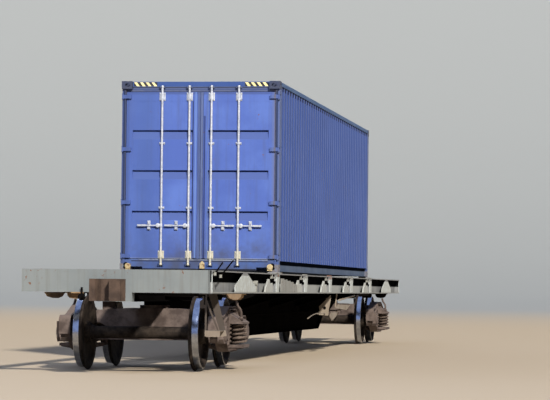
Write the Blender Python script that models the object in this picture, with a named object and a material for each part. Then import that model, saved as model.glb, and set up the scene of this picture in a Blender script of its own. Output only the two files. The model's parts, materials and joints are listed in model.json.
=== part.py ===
"""A long four-axle container flatcar with one forty-foot high-cube container on it.

Metres, +Z up. X runs along the wagon, with the container's doors at its -X end.
Y = 0 is the middle of the track, and Z = 0 is at the lowest point of the wheel flanges.
"""

import math

import bmesh
import bpy

# The running gear: solid wheels on a broad-gauge track
FLANGE_DEPTH = 0.028
WHEEL_DIAMETER = 0.957
WHEEL_BACK = 0.720
RIM_WIDTH = 0.130
FLANGE_WIDTH = 0.035
TREAD_FALL = 0.006
RIM_DEPTH = 0.072
WEB_THICKNESS = 0.030
WEB_INSET = 0.022
HUB_RADIUS = 0.135
HUB_OVERHANG = 0.028
AXLE_RADIUS = 0.083
JOURNAL_RADIUS = 0.065
JOURNAL_LENGTH = 0.190
JOURNAL_SPREAD = 2.036
WHEEL_FACETS = 24

# The bogies
BOGIE_CENTRES = 19.0
BOGIE_WHEELBASE = 1.850
FRAME_THICKNESS = 0.160
FRAME_TOP = 0.868
FRAME_ARM_TOP = 0.735
FRAME_ARM_ROOT = 0.340
FRAME_END_OVERHANG = 0.215
FRAME_BOTTOM = 0.245
FRAME_BOTTOM_HALF = 0.350
PEDESTAL_HALF = 0.160
PEDESTAL_ROOF = 0.650
PEDESTAL_FOOT = 0.478
HORN_WIDTH = 0.055
COLUMN_WIDTH = 0.085
WINDOW_HALF = 0.300
WINDOW_TOP = 0.815
WINDOW_MARGIN = 0.075
SPRING_SEAT = 0.344
SEAT_THICKNESS = 0.040
SPRING_TOP = 0.628
SPRING_RADIUS = 0.093
SPRING_PITCH = 0.196
SPRING_ROW_PITCH = 0.168
SPRING_PLATE = 0.008
SPRING_PLATE_HALF = 0.290
SPRING_FACETS = 8
SPRING_BAR = 0.015
SPRING_TURNS = 5
COIL_STEPS = 7
SEAT_HALF = 0.262

BOLSTER_HALF = 0.255
BOLSTER_TOP = 0.800
BOLSTER_CROWN = 0.830
BOLSTER_BELLY = 0.430
BOLSTER_FLAT = 0.360
BOLSTER_TAPER = 0.720
BOLSTER_SHOULDER = 1.030
BOLSTER_NOSE = 0.650
BOWL_RADIUS = 0.210
BOWL_RIM = 0.872
BOWL_FLOOR = 0.845
BOWL_CLEARANCE = 0.012
PIVOT_RADIUS = 0.155
SIDE_BEARER_Y = 0.640
SIDE_BEARER_HALF = 0.085
SIDE_BEARER_GAP = 0.008
WEDGE_HEIGHT = 0.120
WEDGE_INSET = 0.030

AXLE_BOX_HALF = 0.148
AXLE_BOX_CHAMFER = 0.055
AXLE_BOX_DROP = 0.132
AXLE_BOX_INNER = 0.935
BEARING_CLEARANCE = 0.0009
BEARING_END_GAP = 0.006
COVER_RADIUS = 0.108
COVER_THICKNESS = 0.022
COVER_FACETS = 12

SHOE_GAP = 0.013
SHOE_THICKNESS = 0.060
SHOE_HEIGHT = 0.300
SHOE_WIDTH = 0.078
SHOE_INNER_EDGE = 0.766
SHOE_HEIGHT_ABOVE_AXLE = -0.050
BEAM_HEIGHT = 0.120
BEAM_WIDTH = 0.060
HANGER_WIDTH = 0.030
HANGER_TOP = 0.690

# The wagon's frame
FRAME_LENGTH = 24.500
SILL_OUTER = 1.250
SILL_FLANGE = 0.100
SILL_TOP = 1.343
SILL_BOTTOM = 1.048
SILL_WEB = 0.010
SILL_PLATE = 0.016
END_BEAM_DEPTH = 0.160
END_BEAM_HALF = 1.216
SPINE_HALF = 0.190
SPINE_FLANGE_HALF = 0.245
SPINE_PLATE = 0.020
SPINE_SHALLOW = 0.930
SPINE_DEEP = 0.345
SPINE_DEEP_HALF = 6.150
SPINE_SHALLOW_HALF = 7.700
FRAME_BAY = BOGIE_CENTRES / 6
BEARER_TOP_GAP = 0.010
BEARER_ROOT = 0.780
BEARER_TIP = 1.075
BEARER_WEB = 0.014
BEARER_FLANGE = 0.160
BEARER_PLATE = 0.014
BODY_BOLSTER_HALF = 0.300
BODY_BOLSTER_BELLY_HALF = 0.210
BODY_BOLSTER_OUTER = 1.240
BODY_BOLSTER_DEEP_END = 0.900
BODY_BOLSTER_PLATE = 0.020
PAD_CENTRE = 1.120
PAD_HALF = 0.104
PAD_HALF_LENGTH = 0.120
PAD_DEPTH = 0.088
# The jacking pad's round belly: places across it and depths below it, as shares of its sizes
PAD_SHARES = ((-1, 0), (-0.94, 0.5), (-0.6, 0.88), (0, 1), (0.6, 0.88), (0.94, 0.5), (1, 0))

BRACKET_FOOT_HALF = 0.130
BRACKET_HEAD_HALF = 0.210
BRACKET_PLATE = 0.012
RIB_GAP = 0.060
GUSSET_PLACE = 9.390
GUSSET_HALF = 0.895
GUSSET_HEAD_HALF = 0.110
GUSSET_SHOULDER = 0.090
STOP_HEIGHT = 0.105
STOP_WIDTH = 0.040
STOP_HALF_LENGTH = 0.045
STOP_REACH = 0.150

# The shunter's step under a corner of the frame
STEP_NEAR = 11.450
STEP_FAR = 11.110
STEP_INNER = 1.042
STEP_OUTER = 1.242
STEP_TOP = 0.562
STEP_SKIRT = 0.084
STEP_PLATE = 0.014
STEP_BAR = 0.024
STEP_WIDE_BAR = 0.074
STEP_HEAD = 1.026
STEP_HEAD_BAR = 0.112
STEP_WIDE_FOOT = 1.204
STEP_EAR = 0.070
STEP_EAR_LOW = 0.850
STEP_EAR_HIGH = 0.965
STEP_STEM = 0.034
STEP_ROOT = 0.960

COUPLER_AXIS = 1.078
COUPLING_LINE = 12.845
COUPLER_HEAD_HALF = 0.190
COUPLER_HEAD_LENGTH = 0.330
COUPLER_HEAD_HEIGHT = 0.280
COUPLER_SHANK_HALF = 0.065
COUPLER_SHANK_HEIGHT = 0.160
COUPLER_POCKET_HALF = 0.130
COUPLER_POCKET_HEIGHT = 0.240
COUPLER_POCKET_DEPTH = 0.800
COUPLER_YOKE_HALF = 0.110
# The head's outline from above: how far forward of its root as a share of its length, and how far
# to the side as a share of its half-width. The last points are the large tooth
COUPLER_HEAD_SHARES = (
    (0.00, -0.60), (0.29, -1.00), (1.13, -1.00), (1.1667, -0.60), (0.67, -0.35), (0.67, 0.25),
    (1.1667, 0.35), (1.1667, 1.10), (0.67, 1.30), (0.00, 0.60),
)
STRIKER_HALF = 0.230

RESERVOIR_RADIUS = 0.165
RESERVOIR_LENGTH = 0.950
RESERVOIR_DISH = 0.055
RESERVOIR_X = -1.580
RESERVOIR_Y = 0.560
RESERVOIR_Z = 0.880
CYLINDER_RADIUS = 0.190
CYLINDER_LENGTH = 0.520
CYLINDER_X = 4.100
CYLINDER_ROD_RADIUS = 0.030
CYLINDER_ROD_LENGTH = 0.420
HANGER_PLATE = 0.016

# The container
BOX_LENGTH = 12.192
BOX_WIDTH = 2.438
BOX_HEIGHT = 2.896
BOX_FLOOR_LEVEL = 1.361
CASTING_LENGTH = 0.178
CASTING_WIDTH = 0.162
CASTING_HEIGHT = 0.118
CASTING_WALL = 0.028
CASTING_PROUD = 0.004
HOLE_TOP_LENGTH = 0.124
HOLE_TOP_WIDTH = 0.0635
HOLE_END_LENGTH = 0.079
HOLE_END_WIDTH = 0.051
HOLE_ARC_STEPS = 3
PIN_INSET_X = 0.1035
PIN_INSET_Y = 0.0895
PIN_HALF_LENGTH = 0.045
PIN_HALF_WIDTH = 0.022
PIN_HEIGHT = 0.050
PEDESTAL_PLATE_HALF = 0.130

RAIL_BOTTOM = 0.017
RAIL_HEIGHT = 0.158
RAIL_WIDTH = 0.048
RAIL_SHEET = 0.006
TOP_RAIL = 0.060
TOP_RAIL_DROP = 0.006
MEMBER_PITCH = 0.560
MEMBER_HEIGHT = 0.122
MEMBER_WIDTH = 0.045
MEMBER_SHEET = 0.006
FLOOR_THICKNESS = 0.028
WALL_PITCH = 0.278
WALL_DEPTH = 0.036
WALL_SHEET = 0.002
WALL_OUTER_FLAT = 0.072
WALL_INNER_FLAT = 0.070
FRONT_PITCH = 0.250
FRONT_DEPTH = 0.045
FRONT_OUTER_FLAT = 0.110
FRONT_INNER_FLAT = 0.104
ROOF_PITCH = 0.394
ROOF_DEPTH = 0.020
ROOF_OUTER_FLAT = 0.160
ROOF_INNER_FLAT = 0.160
ROOF_DROP = 0.008

REAR_POST_INSET = 0.024
REAR_NOTCH_INSET = 0.041
NOTCH_WIDTH = 0.030
POST_WIDTH = 0.162
POST_EDGE = 0.060
POST_REBATE = 0.097
HINGE_REST_LENGTH = 0.100
HINGE_REST_DEPTH = 0.022
HINGE_REST_HALF = 0.034
FRONT_POST_INSET = 0.006
HEADER_HEIGHT = 0.150
HEADER_INSET = 0.046
HEADER_LIP = 0.078
HEADER_SINK = 0.016
SILL_CUT_LENGTH = 0.180
SILL_CUT_HEIGHT = 0.075
DOOR_SILL_TOP = 0.190
DOOR_SILL_INSET = 0.041
DOOR_SILL_BOTTOM = 0.020
FRONT_RAIL_HEIGHT = 0.100
DOOR_GAP = 0.008
LEAF_JOINT_HALF = 0.004
LEAF_INSET = 0.041
LEAF_THICKNESS = 0.050
LEAF_OUTER_STILE = 0.100
LEAF_INNER_STILE = 0.114
LEAF_TOP_RAIL = 0.140
LEAF_BOTTOM_RAIL = 0.100
JOINT_REBATE = 0.046
JOINT_REBATE_DEPTH = 0.010
JOINT_STRIP = 0.104
JOINT_STRIP_HEIGHT = 0.012
PANEL_SINK = 0.002
PANEL_SHEET = 0.004
BAND_TOPS = (2.150, 1.540, 0.920)
BAND_HEIGHT = 0.140
BAND_LIP = 0.012
BAND_DEPTH = 0.036

HINGE_LEVELS = (2.660, 1.860, 1.050, 0.235)
HINGE_INSET_X = 0.016
HINGE_INSET_Y = 0.016
HINGE_RADIUS = 0.012
HINGE_HEIGHT = 0.070
HINGE_BLADE = 0.008
HINGE_LUG = 0.010
HINGE_LUG_GAP = 0.0015
HINGE_FOOT = 0.078
HINGE_FACETS = 10

BAR_PLACES = (0.170, 0.590)
BAR_RADIUS = 0.0165
BAR_INSET = 0.021
BAR_FACETS = 10
BAR_BOTTOM = 0.095
BAR_TOP = 2.828
GUIDE_LEVELS = (2.660, 1.950, 0.970, 0.255)
GUIDE_HEIGHTS = (0.130, 0.030, 0.030, 0.130)
GUIDE_HALF = 0.045
GUIDE_DEPTH = 0.014
CAM_HALF = 0.022
CAM_HEIGHT = 0.030
HANDLE_LEVEL = 0.700
HANDLE_LENGTH = 0.380
HANDLE_HEIGHT = 0.026
HANDLE_THICKNESS = 0.010
CATCH_PLACE = 0.190
CATCH_HALF = 0.022
CATCH_HEIGHT = 0.110
KEEPER_LUG = 0.010
KEEPER_GAP = 0.007
KEEPER_HEIGHT = 0.045
KEEPER_DEPTH = 0.034

# What lets touching pieces lie apart, and what a cut runs past its piece
SEAT = 0.0003
OVERRUN = 0.010

# Worked out from the sizes above
TREAD_RADIUS = WHEEL_DIAMETER / 2
AXLE_HEIGHT = FLANGE_DEPTH + TREAD_RADIUS
# How far a facet's corners lie out where its flat lies at the true radius
CORNER_SHARE = 1 / math.cos(math.pi / WHEEL_FACETS)
BODY_BOLSTER_BOTTOM = SPINE_SHALLOW + SPINE_PLATE + SEAT
HALF_FRAME = FRAME_LENGTH / 2
HALF_BOX = BOX_LENGTH / 2
HALF_WIDTH = BOX_WIDTH / 2
JOURNAL_CENTRE = JOURNAL_SPREAD / 2
JOURNAL_END = JOURNAL_CENTRE + JOURNAL_LENGTH / 2
SILL_WEB_PLACE = SILL_OUTER - SILL_FLANGE
SKIN = HALF_WIDTH - CASTING_PROUD
CASTING_FACE = HALF_BOX - CASTING_LENGTH
BOX_TOP = BOX_FLOOR_LEVEL + BOX_HEIGHT
LEAF_BOTTOM = BOX_FLOOR_LEVEL + DOOR_SILL_TOP + DOOR_GAP
HEADER_BOTTOM = BOX_TOP - TOP_RAIL_DROP - HEADER_HEIGHT
LEAF_TOP = HEADER_BOTTOM - DOOR_GAP
LEAF_OUTER = SKIN - POST_EDGE - DOOR_GAP
LEAF_FACE = HALF_BOX - LEAF_INSET
HINGE_X = HALF_BOX - HINGE_INSET_X
HINGE_Y = HALF_WIDTH - HINGE_INSET_Y
BAR_X = HALF_BOX - BAR_INSET

# name: (colour red, green, blue, roughness, metallic)
LOOKS = {
    "frame_grey": (0.28, 0.27, 0.26, 0.70, 0.0),
    "end_grey": (0.42, 0.44, 0.43, 0.65, 0.0),
    "bogie_brown": (0.15, 0.11, 0.095, 0.85, 0.2),
    "spring_brown": (0.08, 0.06, 0.05, 0.80, 0.3),
    "wheel_steel": (0.10, 0.09, 0.085, 0.55, 0.8),
    "container_blue": (0.11, 0.18, 0.52, 0.50, 0.0),
    "side_blue": (0.09, 0.14, 0.36, 0.55, 0.0),
    "casting_dark": (0.03, 0.04, 0.06, 0.60, 0.3),
    "zinc_grey": (0.50, 0.55, 0.64, 0.40, 0.9),
    "floor_wood": (0.24, 0.13, 0.06, 0.70, 0.0),
}

AXES = {
    "XY": lambda u, v, w: (u, v, w),
    "XZ": lambda u, v, w: (u, w, v),
    "YZ": lambda u, v, w: (w, u, v),
}


# Shapes. Each adds one closed shell to a bmesh
def add_prism(shape, outline, plane, start, end):
    """An outline in the plane XY, XZ or YZ, stretched along the axis that is left."""
    place = AXES[plane]
    low = [shape.verts.new(place(u, v, start)) for u, v in outline]
    high = [shape.verts.new(place(u, v, end)) for u, v in outline]
    faces = [shape.faces.new(low), shape.faces.new(high)]
    for i in range(len(outline)):
        j = (i + 1) % len(outline)
        faces.append(shape.faces.new((low[i], low[j], high[j], high[i])))
    bmesh.ops.recalc_face_normals(shape, faces=faces)


def add_block(shape, x, y, z):
    """A rectangular plate or bar between two places on each axis."""
    corners = [(x[0], y[0]), (x[1], y[0]), (x[1], y[1]), (x[0], y[1])]
    add_prism(shape, corners, "XY", z[0], z[1])


def add_turned(shape, profile, facets, axis="Z", centre=(0, 0, 0)):
    """A solid of revolution. The profile is (place along the axis, radius) from end to end."""
    rings = []
    for along, radius in profile:
        ring = []
        for k in range(facets):
            turn = 2 * math.pi * (k + 1 / 2) / facets
            a, b = radius * math.sin(turn), -radius * math.cos(turn)
            point = {"X": (along, a, b), "Y": (a, along, b), "Z": (a, b, along)}[axis]
            ring.append(shape.verts.new([p + c for p, c in zip(point, centre)]))
        rings.append(ring)
    faces = [shape.faces.new(rings[0]), shape.faces.new(rings[-1])]
    for one, two in zip(rings, rings[1:]):
        for k in range(facets):
            n = (k + 1) % facets
            faces.append(shape.faces.new((one[k], one[n], two[n], two[k])))
    bmesh.ops.recalc_face_normals(shape, faces=faces)


def add_coil(shape, spot, low, high):
    """A square bar wound round an upright axis at spot, from the height low to the height high."""
    steps = SPRING_TURNS * COIL_STEPS
    radius = SPRING_RADIUS - SPRING_BAR
    rings = []
    for k in range(steps + 1):
        turn = math.tau * k / COIL_STEPS
        middle = low + SPRING_BAR + (high - low - 2 * SPRING_BAR) * k / steps
        ring = []
        for out, rise in ((SPRING_BAR, 0), (0, SPRING_BAR), (-SPRING_BAR, 0), (0, -SPRING_BAR)):
            reach = radius + out
            ring.append(shape.verts.new((spot[0] + reach * math.cos(turn),
                                         spot[1] + reach * math.sin(turn), middle + rise)))
        rings.append(ring)
    faces = [shape.faces.new(rings[0]), shape.faces.new(rings[-1])]
    for one, two in zip(rings, rings[1:]):
        for i in range(len(one)):
            j = (i + 1) % len(one)
            faces.append(shape.faces.new((one[i], one[j], two[j], two[i])))
    bmesh.ops.recalc_face_normals(shape, faces=faces)


def slot_outline(length, width):
    """A hole with two straight sides and two round ends, its length along u."""
    reach = (length - width) / 2
    outline = []
    for side in (1, -1):
        for k in range(HOLE_ARC_STEPS + 1):
            turn = math.pi * (k / HOLE_ARC_STEPS - 1 / 2)
            u = side * (reach + width / 2 * math.cos(turn))
            outline.append((u, side * width / 2 * math.sin(turn)))
    return outline


def corrugated_outline(length, pitch, depth, crest, valley, sheet):
    """A folded sheet from 0 to length along u, its crests at v = 0 and its valleys at -depth."""
    count = int(length / pitch)
    margin = (length - count * pitch) / 2
    slope = (pitch - crest - valley) / 2
    line = [(0, 0)]
    for k in range(count):
        start = margin + k * pitch + crest / 2
        line.append((start, 0))
        line.append((start + slope, -depth))
        line.append((start + slope + valley, -depth))
        line.append((start + slope + valley + slope, 0))
    line.append((length, 0))
    return line + [(u, v - sheet) for u, v in reversed(line)]


def shifted(outline, u, v, flip_u=1, flip_v=1):
    return [(u + flip_u * a, v + flip_v * b) for a, b in outline]


def material(name):
    found = bpy.data.materials.get(name)
    if found:
        return found
    red, green, blue, roughness, metallic = LOOKS[name]
    made = bpy.data.materials.new(name)
    made.use_nodes = True
    shader = made.node_tree.nodes["Principled BSDF"]
    shader.inputs["Base Color"].default_value = (red, green, blue, 1)
    shader.inputs["Roughness"].default_value = roughness
    shader.inputs["Metallic"].default_value = metallic
    made.diffuse_color = (red, green, blue, 1)
    return made


def piece(name, shape, look, at=(0, 0, 0), parent=None):
    """Turn a bmesh, drawn in world places, into an object whose origin is at the given point."""
    bmesh.ops.translate(shape, verts=shape.verts, vec=[-c for c in at])
    mesh = bpy.data.meshes.new(name)
    shape.to_mesh(mesh)
    shape.free()
    made = bpy.data.objects.new(name, mesh)
    made.data.materials.append(material(look))
    bpy.context.scene.collection.objects.link(made)
    made.location = at
    if parent:
        made.parent = parent
        made.location = [a - p for a, p in zip(at, parent.matrix_world.translation)]
    bpy.context.view_layer.update()
    return made


def boolean(target, shape, operation):
    """Weld a shape, drawn in world places, to a piece, or cut it out, and keep the result."""
    tool = piece(target.name + "_tool", shape, target.data.materials[0].name)
    change = target.modifiers.new(operation.lower(), "BOOLEAN")
    change.operation = operation
    change.solver = "EXACT"
    change.object = tool
    bpy.context.view_layer.update()
    graph = bpy.context.evaluated_depsgraph_get()
    result = bpy.data.meshes.new_from_object(target.evaluated_get(graph))
    target.modifiers.clear()
    target.data = result
    bpy.data.objects.remove(tool)


def weld(target, shape):
    boolean(target, shape, "UNION")


def cut(target, shape):
    boolean(target, shape, "DIFFERENCE")


def pivot(name, at, parent=None):
    """An empty on a joint's axis, which carries the pieces of one moving body."""
    empty = bpy.data.objects.new(name, None)
    bpy.context.scene.collection.objects.link(empty)
    empty.location = at
    if parent:
        empty.parent = parent
        empty.location = [a - p for a, p in zip(at, parent.matrix_world.translation)]
    bpy.context.view_layer.update()
    return empty


def round_shading(target, degrees=40):
    target.data.shade_smooth()
    target.data.set_sharp_from_angle(angle=math.radians(degrees))


# Running gear
def wheelset(name, x, parent):
    """An axle and its two solid wheels, turned as one profile from journal end to journal end."""
    rim_inner = TREAD_RADIUS - RIM_DEPTH
    tread = TREAD_RADIUS * CORNER_SHARE
    flange = (TREAD_RADIUS + FLANGE_DEPTH) * CORNER_SHARE
    rim_outer_face = WHEEL_BACK + RIM_WIDTH
    web_back = WHEEL_BACK + WEB_INSET
    web_rise = (RIM_WIDTH - WEB_INSET * 2 - WEB_THICKNESS) / 2
    half = [
        (WHEEL_BACK - HUB_OVERHANG, AXLE_RADIUS),
        (WHEEL_BACK - HUB_OVERHANG, HUB_RADIUS),
        (web_back + web_rise, HUB_RADIUS + WEB_INSET),
        (web_back, rim_inner - WEB_INSET),
        (WHEEL_BACK, rim_inner),
        (WHEEL_BACK, (tread + flange) / 2),
        (WHEEL_BACK + FLANGE_WIDTH / 2, flange),
        (WHEEL_BACK + FLANGE_WIDTH, tread),
        (rim_outer_face, tread - TREAD_FALL),
        (rim_outer_face, rim_inner),
        (web_back + WEB_THICKNESS, rim_inner - WEB_INSET),
        (web_back + web_rise + WEB_THICKNESS, HUB_RADIUS + WEB_INSET),
        (rim_outer_face + HUB_OVERHANG, HUB_RADIUS),
        (rim_outer_face + HUB_OVERHANG, JOURNAL_RADIUS),
        (JOURNAL_END, JOURNAL_RADIUS),
    ]
    profile = [(-y, r) for y, r in reversed(half)] + half
    shape = bmesh.new()
    centre = (x, 0, AXLE_HEIGHT)
    add_turned(shape, profile, WHEEL_FACETS, "Y", centre)
    made = piece(name, shape, "wheel_steel", centre, parent)
    round_shading(made)


def axle_box(name, x, side, parent):
    """The bearing housing that a side frame rests on, with a blind bore for the journal."""
    roof = PEDESTAL_ROOF - SEAT
    foot = AXLE_HEIGHT - AXLE_BOX_DROP
    outline = [
        (-AXLE_BOX_HALF, roof),
        (-AXLE_BOX_HALF, foot + AXLE_BOX_CHAMFER),
        (-AXLE_BOX_HALF + AXLE_BOX_CHAMFER, foot),
        (AXLE_BOX_HALF - AXLE_BOX_CHAMFER, foot),
        (AXLE_BOX_HALF, foot + AXLE_BOX_CHAMFER),
        (AXLE_BOX_HALF, roof),
    ]
    shape = bmesh.new()
    bore_end = JOURNAL_END + BEARING_END_GAP
    outer = bore_end + COVER_THICKNESS
    add_prism(shape, shifted(outline, x, 0), "XZ", side * AXLE_BOX_INNER, side * outer)
    made = piece(name, shape, "bogie_brown", (x, side * JOURNAL_CENTRE, AXLE_HEIGHT), parent)
    bore = bmesh.new()
    bore_radius = JOURNAL_RADIUS + BEARING_CLEARANCE
    profile = [(side * (AXLE_BOX_INNER - OVERRUN), bore_radius), (side * bore_end, bore_radius)]
    add_turned(bore, profile, WHEEL_FACETS, "Y", (x, 0, AXLE_HEIGHT))
    cut(made, bore)
    cover = bmesh.new()
    rim = [
        (side * (outer - COVER_THICKNESS / 2), COVER_RADIUS),
        (side * (outer + COVER_THICKNESS / 2), COVER_RADIUS),
        (side * (outer + COVER_THICKNESS), COVER_RADIUS - COVER_THICKNESS),
    ]
    add_turned(cover, rim, COVER_FACETS, "Y", (x, 0, AXLE_HEIGHT))
    weld(made, cover)


def side_frame(name, x, side, parent):
    """A cast bogie side: arms out to the axle boxes, two columns, and a seat for the springs."""
    axle = BOGIE_WHEELBASE / 2
    end = axle + FRAME_END_OVERHANG
    half = [
        (FRAME_ARM_ROOT, FRAME_TOP),
        (axle - PEDESTAL_HALF, FRAME_ARM_TOP),
        (end - HORN_WIDTH, FRAME_ARM_TOP),
        (end, FRAME_ARM_TOP - HORN_WIDTH),
        (end, PEDESTAL_FOOT),
        (axle + PEDESTAL_HALF, PEDESTAL_FOOT),
        (axle + PEDESTAL_HALF, PEDESTAL_ROOF),
        (axle - PEDESTAL_HALF, PEDESTAL_ROOF),
        (axle - PEDESTAL_HALF, PEDESTAL_FOOT),
        (axle - PEDESTAL_HALF - HORN_WIDTH, PEDESTAL_FOOT),
        (FRAME_BOTTOM_HALF, FRAME_BOTTOM),
    ]
    outline = half + [(-a, b) for a, b in reversed(half)]
    inner = side * (JOURNAL_CENTRE - FRAME_THICKNESS / 2)
    outer = side * (JOURNAL_CENTRE + FRAME_THICKNESS / 2)
    shape = bmesh.new()
    add_prism(shape, shifted(outline, x, 0), "XZ", inner, outer)
    made = piece(name, shape, "bogie_brown", (x, side * JOURNAL_CENTRE, SPRING_SEAT), parent)
    holes = bmesh.new()
    low, high = sorted((inner, outer))
    add_block(holes, (x - WINDOW_HALF, x + WINDOW_HALF), (low - OVERRUN, high + OVERRUN),
              (SPRING_SEAT, WINDOW_TOP))
    column = WINDOW_HALF + COLUMN_WIDTH
    arm_in = axle - PEDESTAL_HALF - HORN_WIDTH - WINDOW_MARGIN / 2
    for way in (1, -1):
        corner = [
            (way * column, FRAME_TOP - WINDOW_MARGIN * 2),
            (way * arm_in, PEDESTAL_ROOF),
            (way * arm_in, PEDESTAL_FOOT + WINDOW_MARGIN),
            (way * column, FRAME_BOTTOM + WINDOW_MARGIN * 2),
        ]
        add_prism(holes, shifted(corner, x, 0), "XZ", low - OVERRUN, high + OVERRUN)
    cut(made, holes)
    seat = bmesh.new()
    add_block(seat, (x - WINDOW_HALF, x + WINDOW_HALF),
              (side * JOURNAL_CENTRE - SEAT_HALF, side * JOURNAL_CENTRE + SEAT_HALF),
              (SPRING_SEAT - SEAT_THICKNESS, SPRING_SEAT))
    weld(made, seat)


def spring_group(name, x, side, parent):
    """Seven springs in rows of two, three and two on their plate, the outer row wound as coils."""
    rows = [(-1, (-1 / 2, 1 / 2)), (0, (-1, 0, 1)), (1, (-1 / 2, 1 / 2))]
    base = SPRING_SEAT + SEAT
    centre_y = side * JOURNAL_CENTRE
    shape = bmesh.new()
    add_block(shape, (x - SPRING_PLATE_HALF, x + SPRING_PLATE_HALF),
              (centre_y - SEAT_HALF, centre_y + SEAT_HALF), (base, base + SPRING_PLATE))
    made = piece(name, shape, "spring_brown", (x, centre_y, SPRING_SEAT), parent)
    low, high = base + SPRING_PLATE / 2, SPRING_TOP - SEAT
    columns = bmesh.new()
    for row, places in rows:
        for place in places:
            spot = (x + place * SPRING_PITCH, centre_y + row * SPRING_ROW_PITCH)
            if row == side:
                coil = bmesh.new()
                add_coil(coil, spot, low, high)
                weld(made, coil)
            else:
                profile = [(low, SPRING_RADIUS), (high, SPRING_RADIUS)]
                add_turned(columns, profile, SPRING_FACETS, "Z", (*spot, 0))
    weld(made, columns)
    round_shading(made)


def bolster(name, x, parent):
    """The beam across the bogie: deep in the middle, its ends on the springs, a bowl on top."""
    half = [
        (BOLSTER_FLAT, BOLSTER_CROWN),
        (BOLSTER_TAPER, BOLSTER_TOP),
        (BOLSTER_SHOULDER, BOLSTER_TOP),
        (JOURNAL_CENTRE + SEAT_HALF, BOLSTER_NOSE),
        (JOURNAL_CENTRE + SEAT_HALF, SPRING_TOP),
        (BOLSTER_TAPER, SPRING_TOP),
        (BOLSTER_FLAT, BOLSTER_BELLY),
    ]
    outline = half + [(-a, b) for a, b in reversed(half)]
    shape = bmesh.new()
    add_prism(shape, outline, "YZ", x - BOLSTER_HALF, x + BOLSTER_HALF)
    made = piece(name, shape, "bogie_brown", (x, 0, BOLSTER_CROWN), parent)
    extras = bmesh.new()
    bowl = [(BOLSTER_CROWN - OVERRUN, BOWL_RADIUS), (BOWL_RIM, BOWL_RADIUS)]
    add_turned(extras, bowl, WHEEL_FACETS, "Z", (x, 0, 0))
    bearer_top = BODY_BOLSTER_BOTTOM - SIDE_BEARER_GAP
    wedge_low = BOLSTER_TOP - WEDGE_HEIGHT
    wedge_half = FRAME_THICKNESS / 2 - WEDGE_INSET
    for side in (1, -1):
        y = side * SIDE_BEARER_Y
        add_block(extras, (x - SIDE_BEARER_HALF, x + SIDE_BEARER_HALF),
                  (y - SIDE_BEARER_HALF, y + SIDE_BEARER_HALF),
                  (BOLSTER_TOP - OVERRUN, bearer_top))
        for way in (1, -1):
            face = way * (WINDOW_HALF - SEAT)
            root = way * (BOLSTER_HALF - OVERRUN)
            wedge = [(root, wedge_low), (face, wedge_low), (face, BOLSTER_TOP - OVERRUN),
                     (root, BOLSTER_TOP - OVERRUN)]
            middle = side * JOURNAL_CENTRE
            add_prism(extras, shifted(wedge, x, 0), "XZ", middle - wedge_half,
                      middle + wedge_half)
    weld(made, extras)
    hollow = bmesh.new()
    recess = [(BOWL_FLOOR, PIVOT_RADIUS + BOWL_CLEARANCE),
              (BOWL_RIM + OVERRUN, PIVOT_RADIUS + BOWL_CLEARANCE)]
    add_turned(hollow, recess, WHEEL_FACETS, "Z", (x, 0, 0))
    cut(made, hollow)


def brake_beam(name, x, way, parent):
    """A beam with a block for each wheel, hung by links from the two side frames."""
    face = x + way * (BOGIE_WHEELBASE / 2 - TREAD_RADIUS - SHOE_GAP)
    back = face - way * SHOE_THICKNESS
    rear = back - way * BEAM_WIDTH
    level = AXLE_HEIGHT + SHOE_HEIGHT_ABOVE_AXLE
    shoe_outer = SHOE_INNER_EDGE + SHOE_WIDTH
    shape = bmesh.new()
    add_block(shape, sorted((rear, back)), (-shoe_outer, shoe_outer),
              (level - BEAM_HEIGHT / 2, level + BEAM_HEIGHT / 2))
    made = piece(name, shape, "bogie_brown", (x, 0, level), parent)
    extras = bmesh.new()
    for side in (1, -1):
        edges = sorted((side * SHOE_INNER_EDGE, side * shoe_outer))
        outline = []
        for k in range(5):
            drop = SHOE_HEIGHT * (k / 4 - 1 / 2)
            height = level + drop
            reach = TREAD_RADIUS + SHOE_GAP
            rise = height - AXLE_HEIGHT
            curve = x + way * (BOGIE_WHEELBASE / 2 - math.sqrt(reach ** 2 - rise ** 2))
            outline.append((curve, height))
        outline += [(back - way * OVERRUN, outline[-1][1]), (back - way * OVERRUN, outline[0][1])]
        add_prism(extras, outline, "XZ", *edges)
    weld(made, extras)
    links = bmesh.new()
    for side in (1, -1):
        link_in = side * (shoe_outer - HANGER_WIDTH)
        add_block(links, sorted((rear + way * OVERRUN, rear + way * (OVERRUN + HANGER_WIDTH))),
                  sorted((link_in, side * (shoe_outer - OVERRUN))), (level, HANGER_TOP))
    weld(made, links)
    pins = bmesh.new()
    for side in (1, -1):
        link_in = side * (shoe_outer - HANGER_WIDTH)
        seat = side * (JOURNAL_CENTRE - FRAME_THICKNESS / 2 - SEAT)
        add_block(pins, sorted((rear + way * OVERRUN, rear + way * (OVERRUN + HANGER_WIDTH))),
                  sorted((link_in, seat)), (HANGER_TOP - HANGER_WIDTH, HANGER_TOP))
    weld(made, pins)


def bogie(word, x):
    empty = pivot("bogie_" + word + "_pivot", (x, 0, 0))
    for side_word, side in (("left", 1), ("right", -1)):
        side_frame(f"bogie_{word}_side_frame_{side_word}", x, side, empty)
        spring_group(f"bogie_{word}_springs_{side_word}", x, side, empty)
        for end_word, way in (("outer", math.copysign(1, x)), ("inner", -math.copysign(1, x))):
            axle_box(f"bogie_{word}_axle_box_{end_word}_{side_word}",
                     x + way * BOGIE_WHEELBASE / 2, side, empty)
    bolster(f"bogie_{word}_bolster", x, empty)
    for end_word, way in (("outer", math.copysign(1, x)), ("inner", -math.copysign(1, x))):
        brake_beam(f"bogie_{word}_brake_beam_{end_word}", x, way, empty)
        wheelset(f"wheelset_{word}_{end_word}", x + way * BOGIE_WHEELBASE / 2, empty)


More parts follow.
